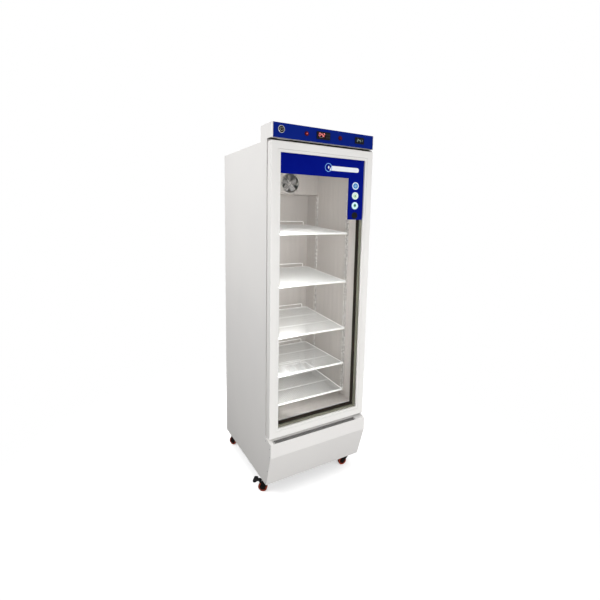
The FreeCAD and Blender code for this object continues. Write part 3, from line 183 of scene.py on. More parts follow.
# Colour drifts between two tones by a large noise, and a fine noise drives roughness and bump.
def makeLook(name, colour, second, patch=6.0, stretch=(1, 1, 1), rough=(0.35, 0.45), grain=400.0, bump=0.05,
             depth=0.0002, metal=0.0, coat=0.0, alpha=1.0, glow=None, glowPower=0.0, shine=0.5,
             contrast=(0.35, 0.65)):
    look = bpy.data.materials.new(name)
    look.use_nodes = True
    nodes, links = look.node_tree.nodes, look.node_tree.links
    nodes.clear()
    output = addNode(nodes, "OutputMaterial")
    shader = addNode(nodes, "BsdfPrincipled", {"Metallic": metal, "Coat Weight": coat, "Coat Roughness": 0.08,
                                               "Specular IOR Level": shine, "Alpha": alpha})
    links.new(shader.outputs["BSDF"], output.inputs["Surface"])
    place = addNode(nodes, "TexCoord")
    mapping = addNode(nodes, "Mapping", {"Scale": stretch})
    links.new(place.outputs["Object"], mapping.inputs["Vector"])
    broad = addNode(nodes, "TexNoise", {"Scale": patch, "Detail": 3.0})
    links.new(mapping.outputs["Vector"], broad.inputs["Vector"])
    ramp = addNode(nodes, "ValToRGB")
    for end, tone, position in zip(ramp.color_ramp.elements, (colour, second), contrast):
        end.position = position
        end.color = (*tone, 1)
    links.new(broad.outputs["Fac"], ramp.inputs["Fac"])
    links.new(ramp.outputs["Color"], shader.inputs["Base Color"])
    fine = addNode(nodes, "TexNoise", {"Scale": grain, "Detail": 2.0})
    links.new(mapping.outputs["Vector"], fine.inputs["Vector"])
    spread = addNode(nodes, "MapRange", {"To Min": rough[0], "To Max": rough[1]})
    links.new(fine.outputs["Fac"], spread.inputs["Value"])
    links.new(spread.outputs["Result"], shader.inputs["Roughness"])
    lift = addNode(nodes, "Bump", {"Strength": bump, "Distance": depth})
    links.new(fine.outputs["Fac"], lift.inputs["Height"])
    links.new(lift.outputs["Normal"], shader.inputs["Normal"])
    if glow:
        shader.inputs["Emission Color"].default_value = (*glow, 1)
        shader.inputs["Emission Strength"].default_value = glowPower
    return look


# colour and second are the two tones, patch and grain the scales of the large and the fine noise.
finishes = {
    "whitePaint": dict(colour=(0.80, 0.785, 0.765), second=(0.775, 0.76, 0.745), patch=2.2,
        rough=(0.30, 0.40), grain=620, bump=0.06, depth=0.00012),
    "doorWhite": dict(colour=(0.82, 0.81, 0.785), second=(0.80, 0.785, 0.765), patch=3.0,
        rough=(0.22, 0.30), grain=500, bump=0.03, depth=0.0001),
    "fasciaBlue": dict(colour=(0.003, 0.014, 0.185), second=(0.004, 0.017, 0.205), patch=5.0,
        rough=(0.30, 0.38), grain=900, bump=0.02, depth=0.00008, shine=0.02),
    "decalBlue": dict(colour=(0.0006, 0.005, 0.195), second=(0.001, 0.007, 0.22), patch=7.0,
        rough=(0.30, 0.38), grain=900, bump=0.02, depth=0.00008, shine=0.02),
    "linerSteel": dict(colour=(0.575, 0.542, 0.512), second=(0.535, 0.505, 0.477), patch=5.0,
        stretch=(9, 9, 0.6), rough=(0.34, 0.50), grain=90, bump=0.05, depth=0.0001, metal=0.25),
    # Painted highlights and shade: bright and dark blotches stand for the glints and dark holes of the rail's
    # slots.
    "railSteel": dict(colour=(0.88, 0.87, 0.84), second=(0.44, 0.42, 0.40), patch=110.0,
        contrast=(0.46, 0.56), rough=(0.28, 0.40), grain=300, bump=0.04, depth=0.0001, metal=0.35),
    "satinSteel": dict(colour=(0.72, 0.71, 0.69), second=(0.66, 0.65, 0.63), patch=9.0, rough=(0.28, 0.40),
        grain=300, bump=0.04, depth=0.0001, metal=0.8),
    "zincSteel": dict(colour=(0.62, 0.63, 0.64), second=(0.50, 0.51, 0.53), patch=60.0, rough=(0.34, 0.5),
        grain=350, bump=0.05, depth=0.0001, metal=0.9),
    "foam": dict(colour=(0.72, 0.64, 0.42), second=(0.66, 0.57, 0.36), patch=30, rough=(0.8, 0.9),
        grain=600, bump=0.4, depth=0.0006),
    "satinBlack": dict(colour=(0.008, 0.008, 0.009), second=(0.012, 0.012, 0.013), patch=25,
        rough=(0.40, 0.52), grain=1100, bump=0.08, depth=0.0001, shine=0.12),
    "blackEnamel": dict(colour=(0.010, 0.010, 0.011), second=(0.016, 0.016, 0.017), patch=8,
        rough=(0.28, 0.4), grain=500, bump=0.06, depth=0.00015, coat=0.1),
    "greyPlastic": dict(colour=(0.16, 0.165, 0.17), second=(0.19, 0.195, 0.2), patch=14, rough=(0.4, 0.52),
        grain=900, bump=0.08, depth=0.0001),
    "keyGrey": dict(colour=(0.022, 0.023, 0.026), second=(0.030, 0.031, 0.034), patch=40,
        rough=(0.38, 0.48), grain=1400, bump=0.06, depth=0.00008, shine=0.2),
    "chrome": dict(colour=(0.80, 0.80, 0.78), second=(0.66, 0.66, 0.65), patch=80, rough=(0.16, 0.26),
        grain=600, bump=0.02, depth=0.00005, metal=0.5),
    "darkChrome": dict(colour=(0.085, 0.08, 0.075), second=(0.055, 0.05, 0.048), patch=120,
        rough=(0.14, 0.24), grain=700, bump=0.05, depth=0.00006, metal=1.0),
    "litRed": dict(colour=(0.15, 0.004, 0.010), second=(0.12, 0.003, 0.008), patch=90, rough=(0.20, 0.28),
        grain=900, bump=0.03, depth=0.00006, glow=(1.0, 0.25, 0.28), glowPower=0.0, shine=0.15),
    "bezelRed": dict(colour=(0.060, 0.003, 0.010), second=(0.045, 0.002, 0.008), patch=60,
        rough=(0.3, 0.4), grain=900, bump=0.04, depth=0.00006, shine=0.12),
    "fanGrey": dict(colour=(0.33, 0.32, 0.31), second=(0.29, 0.28, 0.27), patch=14, rough=(0.4, 0.52),
        grain=900, bump=0.08, depth=0.0001),
    "hingeSteel": dict(colour=(0.10, 0.098, 0.092), second=(0.075, 0.072, 0.068), patch=60,
        rough=(0.34, 0.5), grain=350, bump=0.05, depth=0.0001, metal=0.7),
    "darkRed": dict(colour=(0.10, 0.003, 0.010), second=(0.08, 0.002, 0.008), patch=90, rough=(0.20, 0.28),
        grain=900, bump=0.03, depth=0.00006, shine=0.15),
    "windowDark": dict(colour=(0.010, 0.004, 0.008), second=(0.014, 0.006, 0.010), patch=60,
        rough=(0.12, 0.18), grain=700, bump=0.01, depth=0.00005, shine=0.08),
    "digitRed": dict(colour=(0.7, 0.05, 0.04), second=(0.65, 0.04, 0.03), patch=200, rough=(0.4, 0.5),
        grain=1500, bump=0.01, glow=(1.0, 0.36, 0.36), glowPower=1.0),
    "lcdPanel": dict(colour=(0.010, 0.016, 0.026), second=(0.013, 0.020, 0.030), patch=60,
        rough=(0.16, 0.24), grain=1200, bump=0.01, shine=0.1),
    "lcdInk": dict(colour=(0.42, 0.50, 0.40), second=(0.38, 0.46, 0.36), patch=200, rough=(0.3, 0.4),
        grain=1500, bump=0.01),
    "printWhite": dict(colour=(0.86, 0.88, 0.90), second=(0.82, 0.85, 0.88), patch=60, rough=(0.3, 0.4),
        grain=1200, bump=0.01),
    "printSky": dict(colour=(0.010, 0.19, 0.50), second=(0.014, 0.22, 0.55), patch=60, rough=(0.3, 0.4),
        grain=1200, bump=0.01),
    "printPaleBlue": dict(colour=(0.13, 0.33, 0.75), second=(0.16, 0.38, 0.80), patch=60, rough=(0.3, 0.4),
        grain=1200, bump=0.01),
    "printPaleGreen": dict(colour=(0.16, 0.42, 0.10), second=(0.20, 0.46, 0.13), patch=60,
        rough=(0.3, 0.4), grain=1200, bump=0.01),
    "plateSky": dict(colour=(0.76, 0.87, 0.95), second=(0.72, 0.84, 0.93), patch=60, rough=(0.3, 0.4),
        grain=1200, bump=0.01),
    "plateMint": dict(colour=(0.76, 0.88, 0.84), second=(0.72, 0.85, 0.80), patch=60, rough=(0.3, 0.4),
        grain=1200, bump=0.01),
    "plateIce": dict(colour=(0.68, 0.89, 0.94), second=(0.64, 0.86, 0.92), patch=60, rough=(0.3, 0.4),
        grain=1200, bump=0.01),
    "printGreen": dict(colour=(0.004, 0.16, 0.05), second=(0.006, 0.19, 0.06), patch=60, rough=(0.3, 0.4),
        grain=1200, bump=0.01),
    "clearGlass": dict(colour=(0.50, 0.55, 0.51), second=(0.48, 0.54, 0.50), patch=3, rough=(0.02, 0.05),
        grain=40, bump=0.004, depth=0.00004, alpha=0.006, shine=0.5),
    "spacerMetal": dict(colour=(0.29, 0.285, 0.22), second=(0.24, 0.235, 0.18), patch=90,
        rough=(0.35, 0.5), grain=500, bump=0.05, depth=0.0001, metal=0.3),
    "rubber": dict(colour=(0.020, 0.013, 0.008), second=(0.028, 0.019, 0.011), patch=30, rough=(0.5, 0.64),
        grain=700, bump=0.15, depth=0.00015),
    "trimBlack": dict(colour=(0.012, 0.006, 0.003), second=(0.018, 0.010, 0.005), patch=30,
        rough=(0.7, 0.8), grain=700, bump=0.1, depth=0.0001, shine=0.03),
    "diffuser": dict(colour=(0.86, 0.86, 0.84), second=(0.84, 0.84, 0.82), patch=30, rough=(0.4, 0.5),
        grain=500, bump=0.05, glow=(1.0, 0.98, 0.94), glowPower=1.0),
    "wheelCore": dict(colour=(0.030, 0.007, 0.005), second=(0.042, 0.010, 0.007), patch=60,
        rough=(0.4, 0.55), grain=500, bump=0.1, depth=0.00015, shine=0.2),
    # Near black: painted shade behind the grille's slots.
    "filterMat": dict(colour=(0.008, 0.008, 0.008), second=(0.016, 0.016, 0.015), patch=140,
        rough=(0.85, 0.95), grain=1600, bump=0.6, depth=0.0008, shine=0.1),
    "fins": dict(colour=(0.66, 0.67, 0.68), second=(0.4, 0.41, 0.42), patch=9, stretch=(60, 1, 1),
        rough=(0.35, 0.5), grain=40, bump=0.4, depth=0.0006, metal=0.8),
    "blackFins": dict(colour=(0.02, 0.02, 0.02), second=(0.035, 0.035, 0.035), patch=9, stretch=(60, 1, 1),
        rough=(0.45, 0.6), grain=40, bump=0.4, depth=0.0006, metal=0.3),
    "forkBlack": dict(colour=(0.006, 0.005, 0.005), second=(0.011, 0.009, 0.009), patch=50,
        rough=(0.38, 0.5), grain=500, bump=0.1, depth=0.00015, shine=0.15),
    "wheelRed": dict(colour=(0.30, 0.055, 0.028), second=(0.24, 0.042, 0.021), patch=45,
        rough=(0.32, 0.45), grain=420, bump=0.1, depth=0.00015, shine=0.3),
    "screwSteel": dict(colour=(0.45, 0.45, 0.45), second=(0.36, 0.36, 0.36), patch=300, rough=(0.25, 0.4),
        grain=900, bump=0.05, depth=0.00005, metal=0.9),
    # Grey base: the grille's white paint darkened as painted shade of its shaded band.
    "grilleShadedWhite": dict(colour=(0.44, 0.43, 0.42), second=(0.41, 0.40, 0.39), patch=2.2,
        rough=(0.30, 0.40), grain=620, bump=0.06, depth=0.00012),
}
looks = {name: makeLook(name, **values) for name, values in finishes.items()}


# A look's node of one type.
def nodeOf(look, kind):
    return next(node for node in look.node_tree.nodes if node.type == kind)


# Base colour = own tone * (1 - mask) + the given colour * mask.
def paintWhere(look, mask, colour):
    nodes, links = look.node_tree.nodes, look.node_tree.links
    mix = addNode(nodes, "Mix", {7: (*colour, 1)}, data_type="RGBA")
    links.new(mask, mix.inputs[0])
    links.new(nodeOf(look, "VALTORGB").outputs["Color"], mix.inputs[6])
    links.new(mix.outputs[2], nodeOf(look, "BSDF_PRINCIPLED").inputs["Base Color"])


# Painted shade: dark tone on the slot walls for the shade inside the slots.
grilleShade = {"dark": (0.012, 0.012, 0.012), "from": 0.00010, "to": 0.00025, "rim": 0.0005}


# White on top and painted shade on the cut edges, standing in for the shade inside the slots: depth = top
# plane - point . normal, dark where it passes from..to.
def makeGrilleShade():
    points = nodePoints("intake_grille")
    front = points[points[:, 1] < points[:, 1].min() + grilleShade["rim"]]
    rear = points[points[:, 1] > points[:, 1].max() - grilleShade["rim"]]
    along = rear[rear[:, 2].argmax()] - front[front[:, 2].argmax()]
    normal = np.array([0, -along[2], along[1]]) / math.hypot(along[1], along[2])
    top = (points @ normal).max()
    look = looks["grilleShadedWhite"]
    nodes, links = look.node_tree.nodes, look.node_tree.links
    place = addNode(nodes, "TexCoord")
    height = addNode(nodes, "VectorMath", {1: tuple(normal)}, operation="DOT_PRODUCT")
    links.new(place.outputs["Object"], height.inputs[0])
    slotWallShade = addNode(nodes, "MapRange", {"From Min": top - grilleShade["from"],
                                      "From Max": top - grilleShade["to"]})
    links.new(height.outputs["Value"], slotWallShade.inputs["Value"])
    paintWhere(look, slotWallShade.outputs["Result"], grilleShade["dark"])


makeGrilleShade()

# Painted light and shade: the coat glows though the wires are no lamp, and the fine tone is painted shade on
# the fine wires.
deckPaintAndLight = {
    "coat": dict(colour=(0.90, 0.90, 0.88), second=(0.87, 0.87, 0.85), patch=20.0, rough=(0.28, 0.38),
                 grain=700, bump=0.05, depth=0.0001, glow=(1.0, 0.99, 0.97), glowPower=0.20),
    "fine": (0.70, 0.705, 0.69), "level": 0.0044, "reach": 0.00185, "sideIn": 0.008, "endIn": 0.0095,
    "rodEdge": 0.0013,
}


# Painted shade and light: the fine wires are painted darker and don't glow, while the rest of the wires glow
# as painted light. A point is theirs where its height over the side rods, z - a - b * y, its x and its y all
# lie within their reaches. The line a + b * y is fitted to the side rods' outer edges.
def makeDeckLightAndShade(number):
    look = makeLook("wireCoat%d" % number, **deckPaintAndLight["coat"])
    points = nodePoints("shelf_%d" % number)
    sideways = np.abs(points[:, 0])
    outer = points[sideways > sideways.max() - deckPaintAndLight["rodEdge"]]
    b, a = np.polyfit(outer[:, 1], outer[:, 2], 1)
    y0, y1 = points[:, 1].min() + deckPaintAndLight["endIn"], points[:, 1].max() - deckPaintAndLight["endIn"]
    tests = [((0, -b, 1), a + deckPaintAndLight["level"], deckPaintAndLight["reach"]),
             ((1, 0, 0), 0, points[:, 0].max() - deckPaintAndLight["sideIn"]),
             ((0, 1, 0), (y0 + y1) / 2, (y1 - y0) / 2)]
    nodes, links = look.node_tree.nodes, look.node_tree.links
    place = addNode(nodes, "TexCoord")
    inside = None
    for direction, centre, reach in tests:
        along = addNode(nodes, "VectorMath", {1: direction}, operation="DOT_PRODUCT")
        links.new(place.outputs["Object"], along.inputs[0])
        near = addNode(nodes, "Math", {1: centre, 2: reach}, operation="COMPARE")
        links.new(along.outputs["Value"], near.inputs[0])
        if inside is None:
            inside = near
            continue
        both = addNode(nodes, "Math", operation="MULTIPLY")
        links.new(inside.outputs[0], both.inputs[0])
        links.new(near.outputs[0], both.inputs[1])
        inside = both
    paintWhere(look, inside.outputs[0], deckPaintAndLight["fine"])
    dim = addNode(nodes, "MapRange", {"To Min": deckPaintAndLight["coat"]["glowPower"], "To Max": 0.0})
    links.new(inside.outputs[0], dim.inputs["Value"])
    links.new(dim.outputs["Result"], nodeOf(look, "BSDF_PRINCIPLED").inputs["Emission Strength"])
    looks[look.name] = look


for number in range(1, 6):
    makeDeckLightAndShade(number)

glowAndHighlightSpot = {"radius": 0.0045, "power": 0.9}


# Glow of the lit rocker, partly its own lamp and partly a painted highlight: strength = power * (1 - distance
# from its middle / radius), seen along Y.
def makeGlowAndHighlightSpot():
    points = nodePoints("light_switch")
    centre = (points.min(axis=0) + points.max(axis=0)) / 2
    look = looks["litRed"]
    nodes, links = look.node_tree.nodes, look.node_tree.links
    place = addNode(nodes, "TexCoord")
    flat = addNode(nodes, "VectorMath", {1: (1, 0, 1)}, operation="MULTIPLY")
    links.new(place.outputs["Object"], flat.inputs[0])
    away = addNode(nodes, "VectorMath", {1: (centre[0], 0, centre[2])}, operation="DISTANCE")
    links.new(flat.outputs["Vector"], away.inputs[0])
    fall = addNode(nodes, "MapRange", {"From Min": 0, "From Max": glowAndHighlightSpot["radius"],
                                       "To Min": glowAndHighlightSpot["power"], "To Max": 0})
    links.new(away.outputs["Value"], fall.inputs["Value"])
    links.new(fall.outputs["Result"], nodeOf(look, "BSDF_PRINCIPLED").inputs["Emission Strength"])


makeGlowAndHighlightSpot()

nodeLooks = {
    "side_panel_left": "whitePaint", "side_panel_right": "whitePaint", "top_panel": "whitePaint",
    "rear_panel": "whitePaint", "base_plate": "zincSteel", "machine_deck": "zincSteel",
    "cabinet_foam": "foam", "inner_liner": "linerSteel", "front_frame": "whitePaint",
    "shelf_rails": "railSteel", "shelf_clips": "satinSteel",
    "evaporator_housing": "linerSteel", "evaporator_coil": "fins", "evaporator_fan_frame": "satinSteel",
    "evaporator_fan_blades": "fanGrey", "ceiling_lamp": "diffuser",
    "header_shell": "whitePaint", "header_fascia": "whitePaint", "lock_body": "chrome",
    "lock_plug": "darkChrome", "switch_housings": "bezelRed", "light_switch": "litRed",
    "power_switch": "darkRed",
    "controller_housing": "satinBlack", "display_windows": "windowDark", "thermometer_housing": "satinBlack",
    "kick_panel": "whitePaint", "intake_grille": "grilleShadedWhite", "kick_screws": "screwSteel",
    "compressor": "blackEnamel", "condenser_unit": "blackFins", "condenser_fan_blades": "greyPlastic",
    "drain_pan": "greyPlastic", "hinge_brackets": "hingeSteel", "cord_inlet": "satinBlack",
    "caster_plates": "zincSteel", "door_frame": "doorWhite", "glazing_bead": "doorWhite",
    "glass_panes": "clearGlass", "glass_spacer": "spacerMetal", "door_gasket": "rubber",
    "door_decal": "decalBlue", "brake_pedal_fl": "satinBlack",
}
for number in range(1, 6):
    nodeLooks["shelf_%d" % number] = "wireCoat%d" % number
for number in range(1, 5):
    nodeLooks["controller_key_%d" % number] = "keyGrey"
for corner in ("fl", "fr", "rl", "rr"):
    nodeLooks["caster_fork_" + corner] = "forkBlack"
    nodeLooks["caster_wheel_" + corner] = "wheelRed"

for name, node in frame["nodes"].items():
    node.data.materials.clear()
    node.data.materials.append(looks[nodeLooks[name]])
print("finishes on", len(frame["nodes"]), "nodes")


# Blue film on the header

film = {"edge": 0.008, "margin": 0.0003, "proud": 0.0003, "thick": 0.00027}


# Plate over the fascia's flat face, held in from its rounded ends.
def makeFasciaFilm():
    lo, hi = low("header_fascia"), high("header_fascia")
    edge, margin = film["edge"], film["margin"]
    outline = rectangle(lo[0] + edge, hi[0] - edge, lo[2] + margin, hi[2] - margin)
    plate = flatShape(outline, lo[1] - film["proud"], film["thick"])
    platePiece("fasciaFilm", [plate], "fasciaBlue", "cabinet", "blue_fascia")


makeFasciaFilm()
print("header film")


# Digits of the two displays

redDigits = {"text": "04.2", "height": 0.0165, "width": 0.0092, "stroke": 0.0019, "pitch": 0.0122,
             "drop": 0.0050, "proud": 0.0002}
crystalDigits = {"text": "24.1", "height": 0.0140, "width": 0.0092, "stroke": 0.0018, "pitch": 0.0128,
                 "drop": 0.0062, "proud": 0.0003}
digitShape = {"slant": 0.10, "thick": 0.0002, "gap": 0.12, "pointGap": 0.45}
litBars = {"0": "abcdef", "1": "bc", "2": "abged", "3": "abgcd", "4": "fgbc", "5": "afgcd",
           "6": "afgedc", "7": "abc", "8": "abcdefg", "9": "abfgcd"}


# Six-cornered bar of a seven bar digit whose lower left corner is the origin. Its line runs between two
# corners of the digit, and half a stroke before each end its sides stand half a stroke off that line.
def barOutline(kind, width, height, stroke):
    half = stroke / 2
    ends = {
        "a": ((half, height - half), (width - half, height - half)),
        "g": ((half, height / 2), (width - half, height / 2)),
        "d": ((half, half), (width - half, half)),
        "f": ((half, height / 2), (half, height - half)),
        "e": ((half, half), (half, height / 2)),
        "b": ((width - half, height / 2), (width - half, height - half)),
        "c": ((width - half, half), (width - half, height / 2)),
    }[kind]
    start, end = np.array(ends[0]), np.array(ends[1])
    along = (end - start) / np.linalg.norm(end - start)
    across = np.array([-along[1], along[0]]) * half
    start, end = start + along * stroke * digitShape["gap"], end - along * stroke * digitShape["gap"]
    nearStart, nearEnd = start + along * half, end - along * half
    return np.array([start, nearStart - across, nearEnd - across, end, nearEnd + across, nearStart + across])


# Left end of a text centred between x0 and x1. Its point takes no pitch of its own.
def textStart(style, x0, x1):
    return (x0 + x1 - (len(style["text"]) - 2) * style["pitch"] - style["width"]) / 2


# Plates for each lit bar, each leaning by the slant times its height, and a square plate for the point.
def digitParts(style, x0, x1, middleZ, face):
    width, height, stroke, pitch = (style[key] for key in ("width", "height", "stroke", "pitch"))
    z, y, thick = middleZ - style["drop"], face - style["proud"], digitShape["thick"]
    cursor = textStart(style, x0, x1)
    parts = []
    for sign in style["text"]:
        if sign == ".":
            left = cursor - pitch + width + stroke * digitShape["pointGap"]
            parts.append(flatShape(rectangle(left, left + stroke, z, z + stroke), y, thick))
            continue
        for bar in litBars[sign]:
            outline = barOutline(bar, width, height, stroke)
            outline[:, 0] += outline[:, 1] * digitShape["slant"]
            parts.append(flatShape(outline + [cursor, z], y, thick))
        cursor += pitch
    return parts


display = {
    "keyGap": 0.0035, "dots": 4, "dotRadius": 0.0008, "dotFrom": 0.006, "dotPitch": 0.0062, "dotDrop": 0.0092,
    "panelWide": 0.046, "panelSideIn": 0.002, "panelEndIn": 0.0045,
    "panelProud": 0.00015, "panelThick": 0.0001,
}


# Red digits and a row of dots left of the controller's keys, and dark digits on a panel in the thermometer.
def makeDisplays():
    d = display
    lo, hi = low("display_windows"), high("display_windows")
    middleZ = (lo[2] + hi[2]) / 2
    face = low("controller_housing")[1]
    x0, x1 = lo[0], low("controller_key_1")[0] - d["keyGap"]
    parts = digitParts(redDigits, x0, x1, middleZ, face)
    platePiece("temperatureDigits", parts, "digitRed", "cabinet", "window")
    dots = []
    for step in range(d["dots"]):
        x = textStart(redDigits, x0, x1) + d["dotFrom"] + step * d["dotPitch"]
        outline = discOutline(x, middleZ - d["dotDrop"], d["dotRadius"], steps=12)
        dots.append(flatShape(outline, face - redDigits["proud"], digitShape["thick"]))
    platePiece("stateDots", dots, "printWhite", "cabinet", "window")

    face = low("thermometer_housing")[1]
    x0, x1 = hi[0] - d["panelWide"], hi[0]
    sideIn, endIn = d["panelSideIn"], d["panelEndIn"]
    outline = rectangle(x0 + sideIn, x1 - sideIn, lo[2] + endIn, hi[2] - endIn)
    panel = flatShape(outline, face - d["panelProud"], d["panelThick"])
    platePiece("crystalPanel", [panel], "lcdPanel", "cabinet", "window")
    parts = digitParts(crystalDigits, x0, x1, middleZ, face)
    platePiece("crystalDigits", parts, "lcdInk", "cabinet", "window")


makeDisplays()
print("displays")


# Printed signs on the door's film

prints = {
    "ringOuter": 0.0190, "ringInner": 0.0142, "wide": 1.12, "lastPlate": 0.94,
    "dropAcross": 0.052, "firstDrop": 0.132, "pitch": 0.0512, "lift": 0.0002, "thick": 0.0001,
    "flake": 0.56, "circle": (0.86, 0.76), "leaf": 0.60, "leafWide": 0.9,
    "crown": 0.56, "crownRise": 0.0015, "stemHalf": 0.0008, "stemFoot": 0.011, "stemTop": 0.004,
    "pillLeft": 0.030, "pillRight": 0.216, "pillHigh": 0.0235, "pillDrop": 0.052,
    "ring": (0.0215, 0.0180), "ringShift": (-0.006, 0.002), "drop": 0.0085, "dropShift": 0.001,
}
flake = {"arms": 6, "fork": 0.55, "twigAside": 0.25, "twigTip": 0.8, "half": 0.045}


# Outline of a bar. Its right end is a half circle, radius * (cos, sin) of the turn, and its left end leans.
def roundBarOutline(x0, x1, z0, z1, lean=1.1, steps=12):
    radius = (z1 - z0) / 2
    turn = np.linspace(-math.pi / 2, math.pi / 2, steps)
    rightEnd = np.column_stack([x1 - radius + radius * np.cos(turn), (z0 + z1) / 2 + radius * np.sin(turn)])
    return np.concatenate([rightEnd, [(x0 + radius * lean, z1), (x0, z0)]])


# Leaf with a pointed top: half width = wide * size * sin(way) * (1 - way / taper) at each height.
def leafOutline(x, z, size, wide=0.72, taper=4.4, steps=14):
    way = np.linspace(0, math.pi, steps)
    height = z - size + 2 * size * way / math.pi
    half = wide * size * np.sin(way) * (1 - way / taper)
    leftSide = np.column_stack([x - half, height])[::-1]
    return np.concatenate([np.column_stack([x + half, height]), leftSide[1:-1]])


# Arms with two short twigs each, every one a thin bar between two points, turned by equal steps.
def flakeParts(x, z, size, y):
    fork, aside, tip = (size * flake[key] for key in ("fork", "twigAside", "twigTip"))
    bars = [((0, 0), (0, size)), ((0, fork), (aside, tip)), ((0, fork), (-aside, tip))]
    parts = []
    for arm in range(flake["arms"]):
        turn = arm * 2 * math.pi / flake["arms"]
        spin = np.array([[math.cos(turn), math.sin(turn)], [-math.sin(turn), math.cos(turn)]])
        for start, end in bars:
            start, end = np.array(start), np.array(end)
            along = (end - start) / np.linalg.norm(end - start)
            across = np.array([-along[1], along[0]]) * size * flake["half"]
            outline = np.array([start + across, start - across, end - across, end + across])
            parts.append(flatShape(outline @ spin + [x, z], y, prints["thick"]))
    return parts


# One printed layer: its height over the film is the layer's number times the lift.
def printPiece(name, outlines, layer, look):
    y = low("door_decal")[1] - layer * prints["lift"]
    platePiece(name, [flatShape(outline, y, prints["thick"]) for outline in outlines], look, "door", "decal")


# Round plate under a sign, in the first layer.
def signPlate(number, x, z, radius, look):
    printPiece("signPlate%d" % number, [discOutline(x, z, radius, prints["wide"])], 1, look)


# A column of round signs with a flake, a leaf, a tree and nothing, and a pill with a ring and a drop.
def makePrints():
    lo, hi = low("door_decal"), high("door_decal")
    p = prints
    lift, thick, outer, inner = (p[key] for key in ("lift", "thick", "ringOuter", "ringInner"))
    x = hi[0] - p["dropAcross"]
    first, second, third, fourth = (hi[2] - p["firstDrop"] - index * p["pitch"] for index in range(4))

    signPlate(1, x, first, outer, "plateSky")
    printPiece("signDisc", [discOutline(x, first, inner, p["wide"])], 2, "printSky")
    parts = flakeParts(x, first, inner * p["flake"], lo[1] - 3 * lift)
    platePiece("signFlake", parts, "plateSky", "door", "decal")

    signPlate(2, x, second, outer, "plateMint")
    circle = ringShape(x, second, *(inner * share for share in p["circle"]), lo[1] - 2 * lift, thick)
    platePiece("signCircle", [circle], "printPaleGreen", "door", "decal")
    printPiece("signLeaf", [leafOutline(x, second, inner * p["leaf"], p["leafWide"])], 2, "printPaleGreen")

    signPlate(3, x, third, outer, "plateIce")
    crown = discOutline(x, third + p["crownRise"], inner * p["crown"])
    stem = rectangle(x - p["stemHalf"], x + p["stemHalf"], third - p["stemFoot"], third - p["stemTop"])
    tree = [flatShape(crown, lo[1] - 2 * lift, thick), flatShape(stem, lo[1] - 2.5 * lift, thick)]
    platePiece("signTree", tree, "printGreen", "door", "decal")
    signPlate(4, x, fourth, outer * p["lastPlate"], "satinBlack")

    top = hi[2] - p["pillDrop"] + p["pillHigh"] / 2
    bottom = top - p["pillHigh"]
    printPiece("plainPill", [roundBarOutline(p["pillLeft"], p["pillRight"], bottom, top)], 1, "printWhite")
    ringX, ringZ = p["pillLeft"] + p["ringShift"][0], (top + bottom) / 2 + p["ringShift"][1]
    ring = ringShape(ringX, ringZ, *p["ring"], lo[1] - 2 * lift, thick)
    platePiece("plainRing", [ring], "printPaleBlue", "door", "decal")
    drop = leafOutline(ringX + p["dropShift"], ringZ, p["drop"])
    drop[:, 1] = 2 * ringZ - drop[:, 1]
    printPiece("plainDrop", [drop[::-1]], 2, "printWhite")


makePrints()
print("prints on the film")


# Lock rosette

rosette = {
    "ridges": 3, "proud": 0.0006, "valley": 0.35, "inner": 0.0075, "outer": 0.0148,
    "keyHalf": 0.0010, "keyReach": 0.0036, "keyProud": 0.0001, "keyThick": 0.00009,
}


# Ridged ring, height = proud * (valley + (1 - valley) * |sin(pi * ridges * way)|) and 0 at both edges, and a
# keyway on the plug: a black plate as painted shade in the slot.
def makeLockFace():
    r = rosette
    lo, hi = low("lock_body"), high("lock_body")
    x, z = (lo[0] + hi[0]) / 2, (lo[2] + hi[2]) / 2
    way = np.linspace(0, 1, 40)
    radius = r["inner"] + (r["outer"] - r["inner"]) * way
    height = r["proud"] * (r["valley"] + (1 - r["valley"]) * np.abs(np.sin(way * math.pi * r["ridges"])))
    height[0] = height[-1] = 0
    points, faces = turned(np.column_stack([radius, height]), 64)
    points = np.column_stack([points[:, 0] + x, lo[1] - points[:, 2], points[:, 1] + z])
    meshPiece("lockRosette", points, faces, ["darkChrome"], "cabinet", "chrome")
    # Keyway: black plate, painted shade in the plug's slot.
    outline = rectangle(x - r["keyHalf"], x + r["keyHalf"], z - r["keyReach"], z + r["keyReach"])
    slot = flatShape(outline, low("lock_plug")[1] - r["keyProud"], r["keyThick"])
    platePiece("keyway", [slot], "satinBlack", "lock", "chrome")


makeLockFace()
print("lock")


# Pleated seal on the back of the door

seal = {"deep": 0.0077, "pleats": 3, "pleat": 0.0013,
        "chamber": 0.0002, "chamberFrom": 0.004, "chamberTo": 0.015}


# Side: inset = -pleat * sin(pi * pleats * way) ** 2. Back: a low swell, chamber * sin(pi * way), off the lip.
def makeSeal():
    lo, hi = low("door_gasket"), high("door_gasket")
    way = np.linspace(0, 1, 25)
    side = np.column_stack([-seal["pleat"] * np.sin(math.pi * seal["pleats"] * way) ** 2,
                            hi[1] - seal["deep"] * (1 - way)])
    across = np.linspace(seal["chamberFrom"], seal["chamberTo"], 15)
    swell = seal["chamber"] * np.sin(math.pi * (across - across[0]) / (across[-1] - across[0]))
    back = np.column_stack([across, hi[1] + swell])
    points, faces = sweptFrame(np.concatenate([side, back]), lo[0], hi[0], lo[2], hi[2])
    meshPiece("pleatedSeal", points, faces, ["rubber"], "door", "rubber")


makeSeal()
print("seal")


# Dark trim round the glass, behind its rear pane

trim = {"to": 0.0225, "deep": 0.0074, "air": 0.0003, "edge": 0.0012, "leftOut": 0.0040}


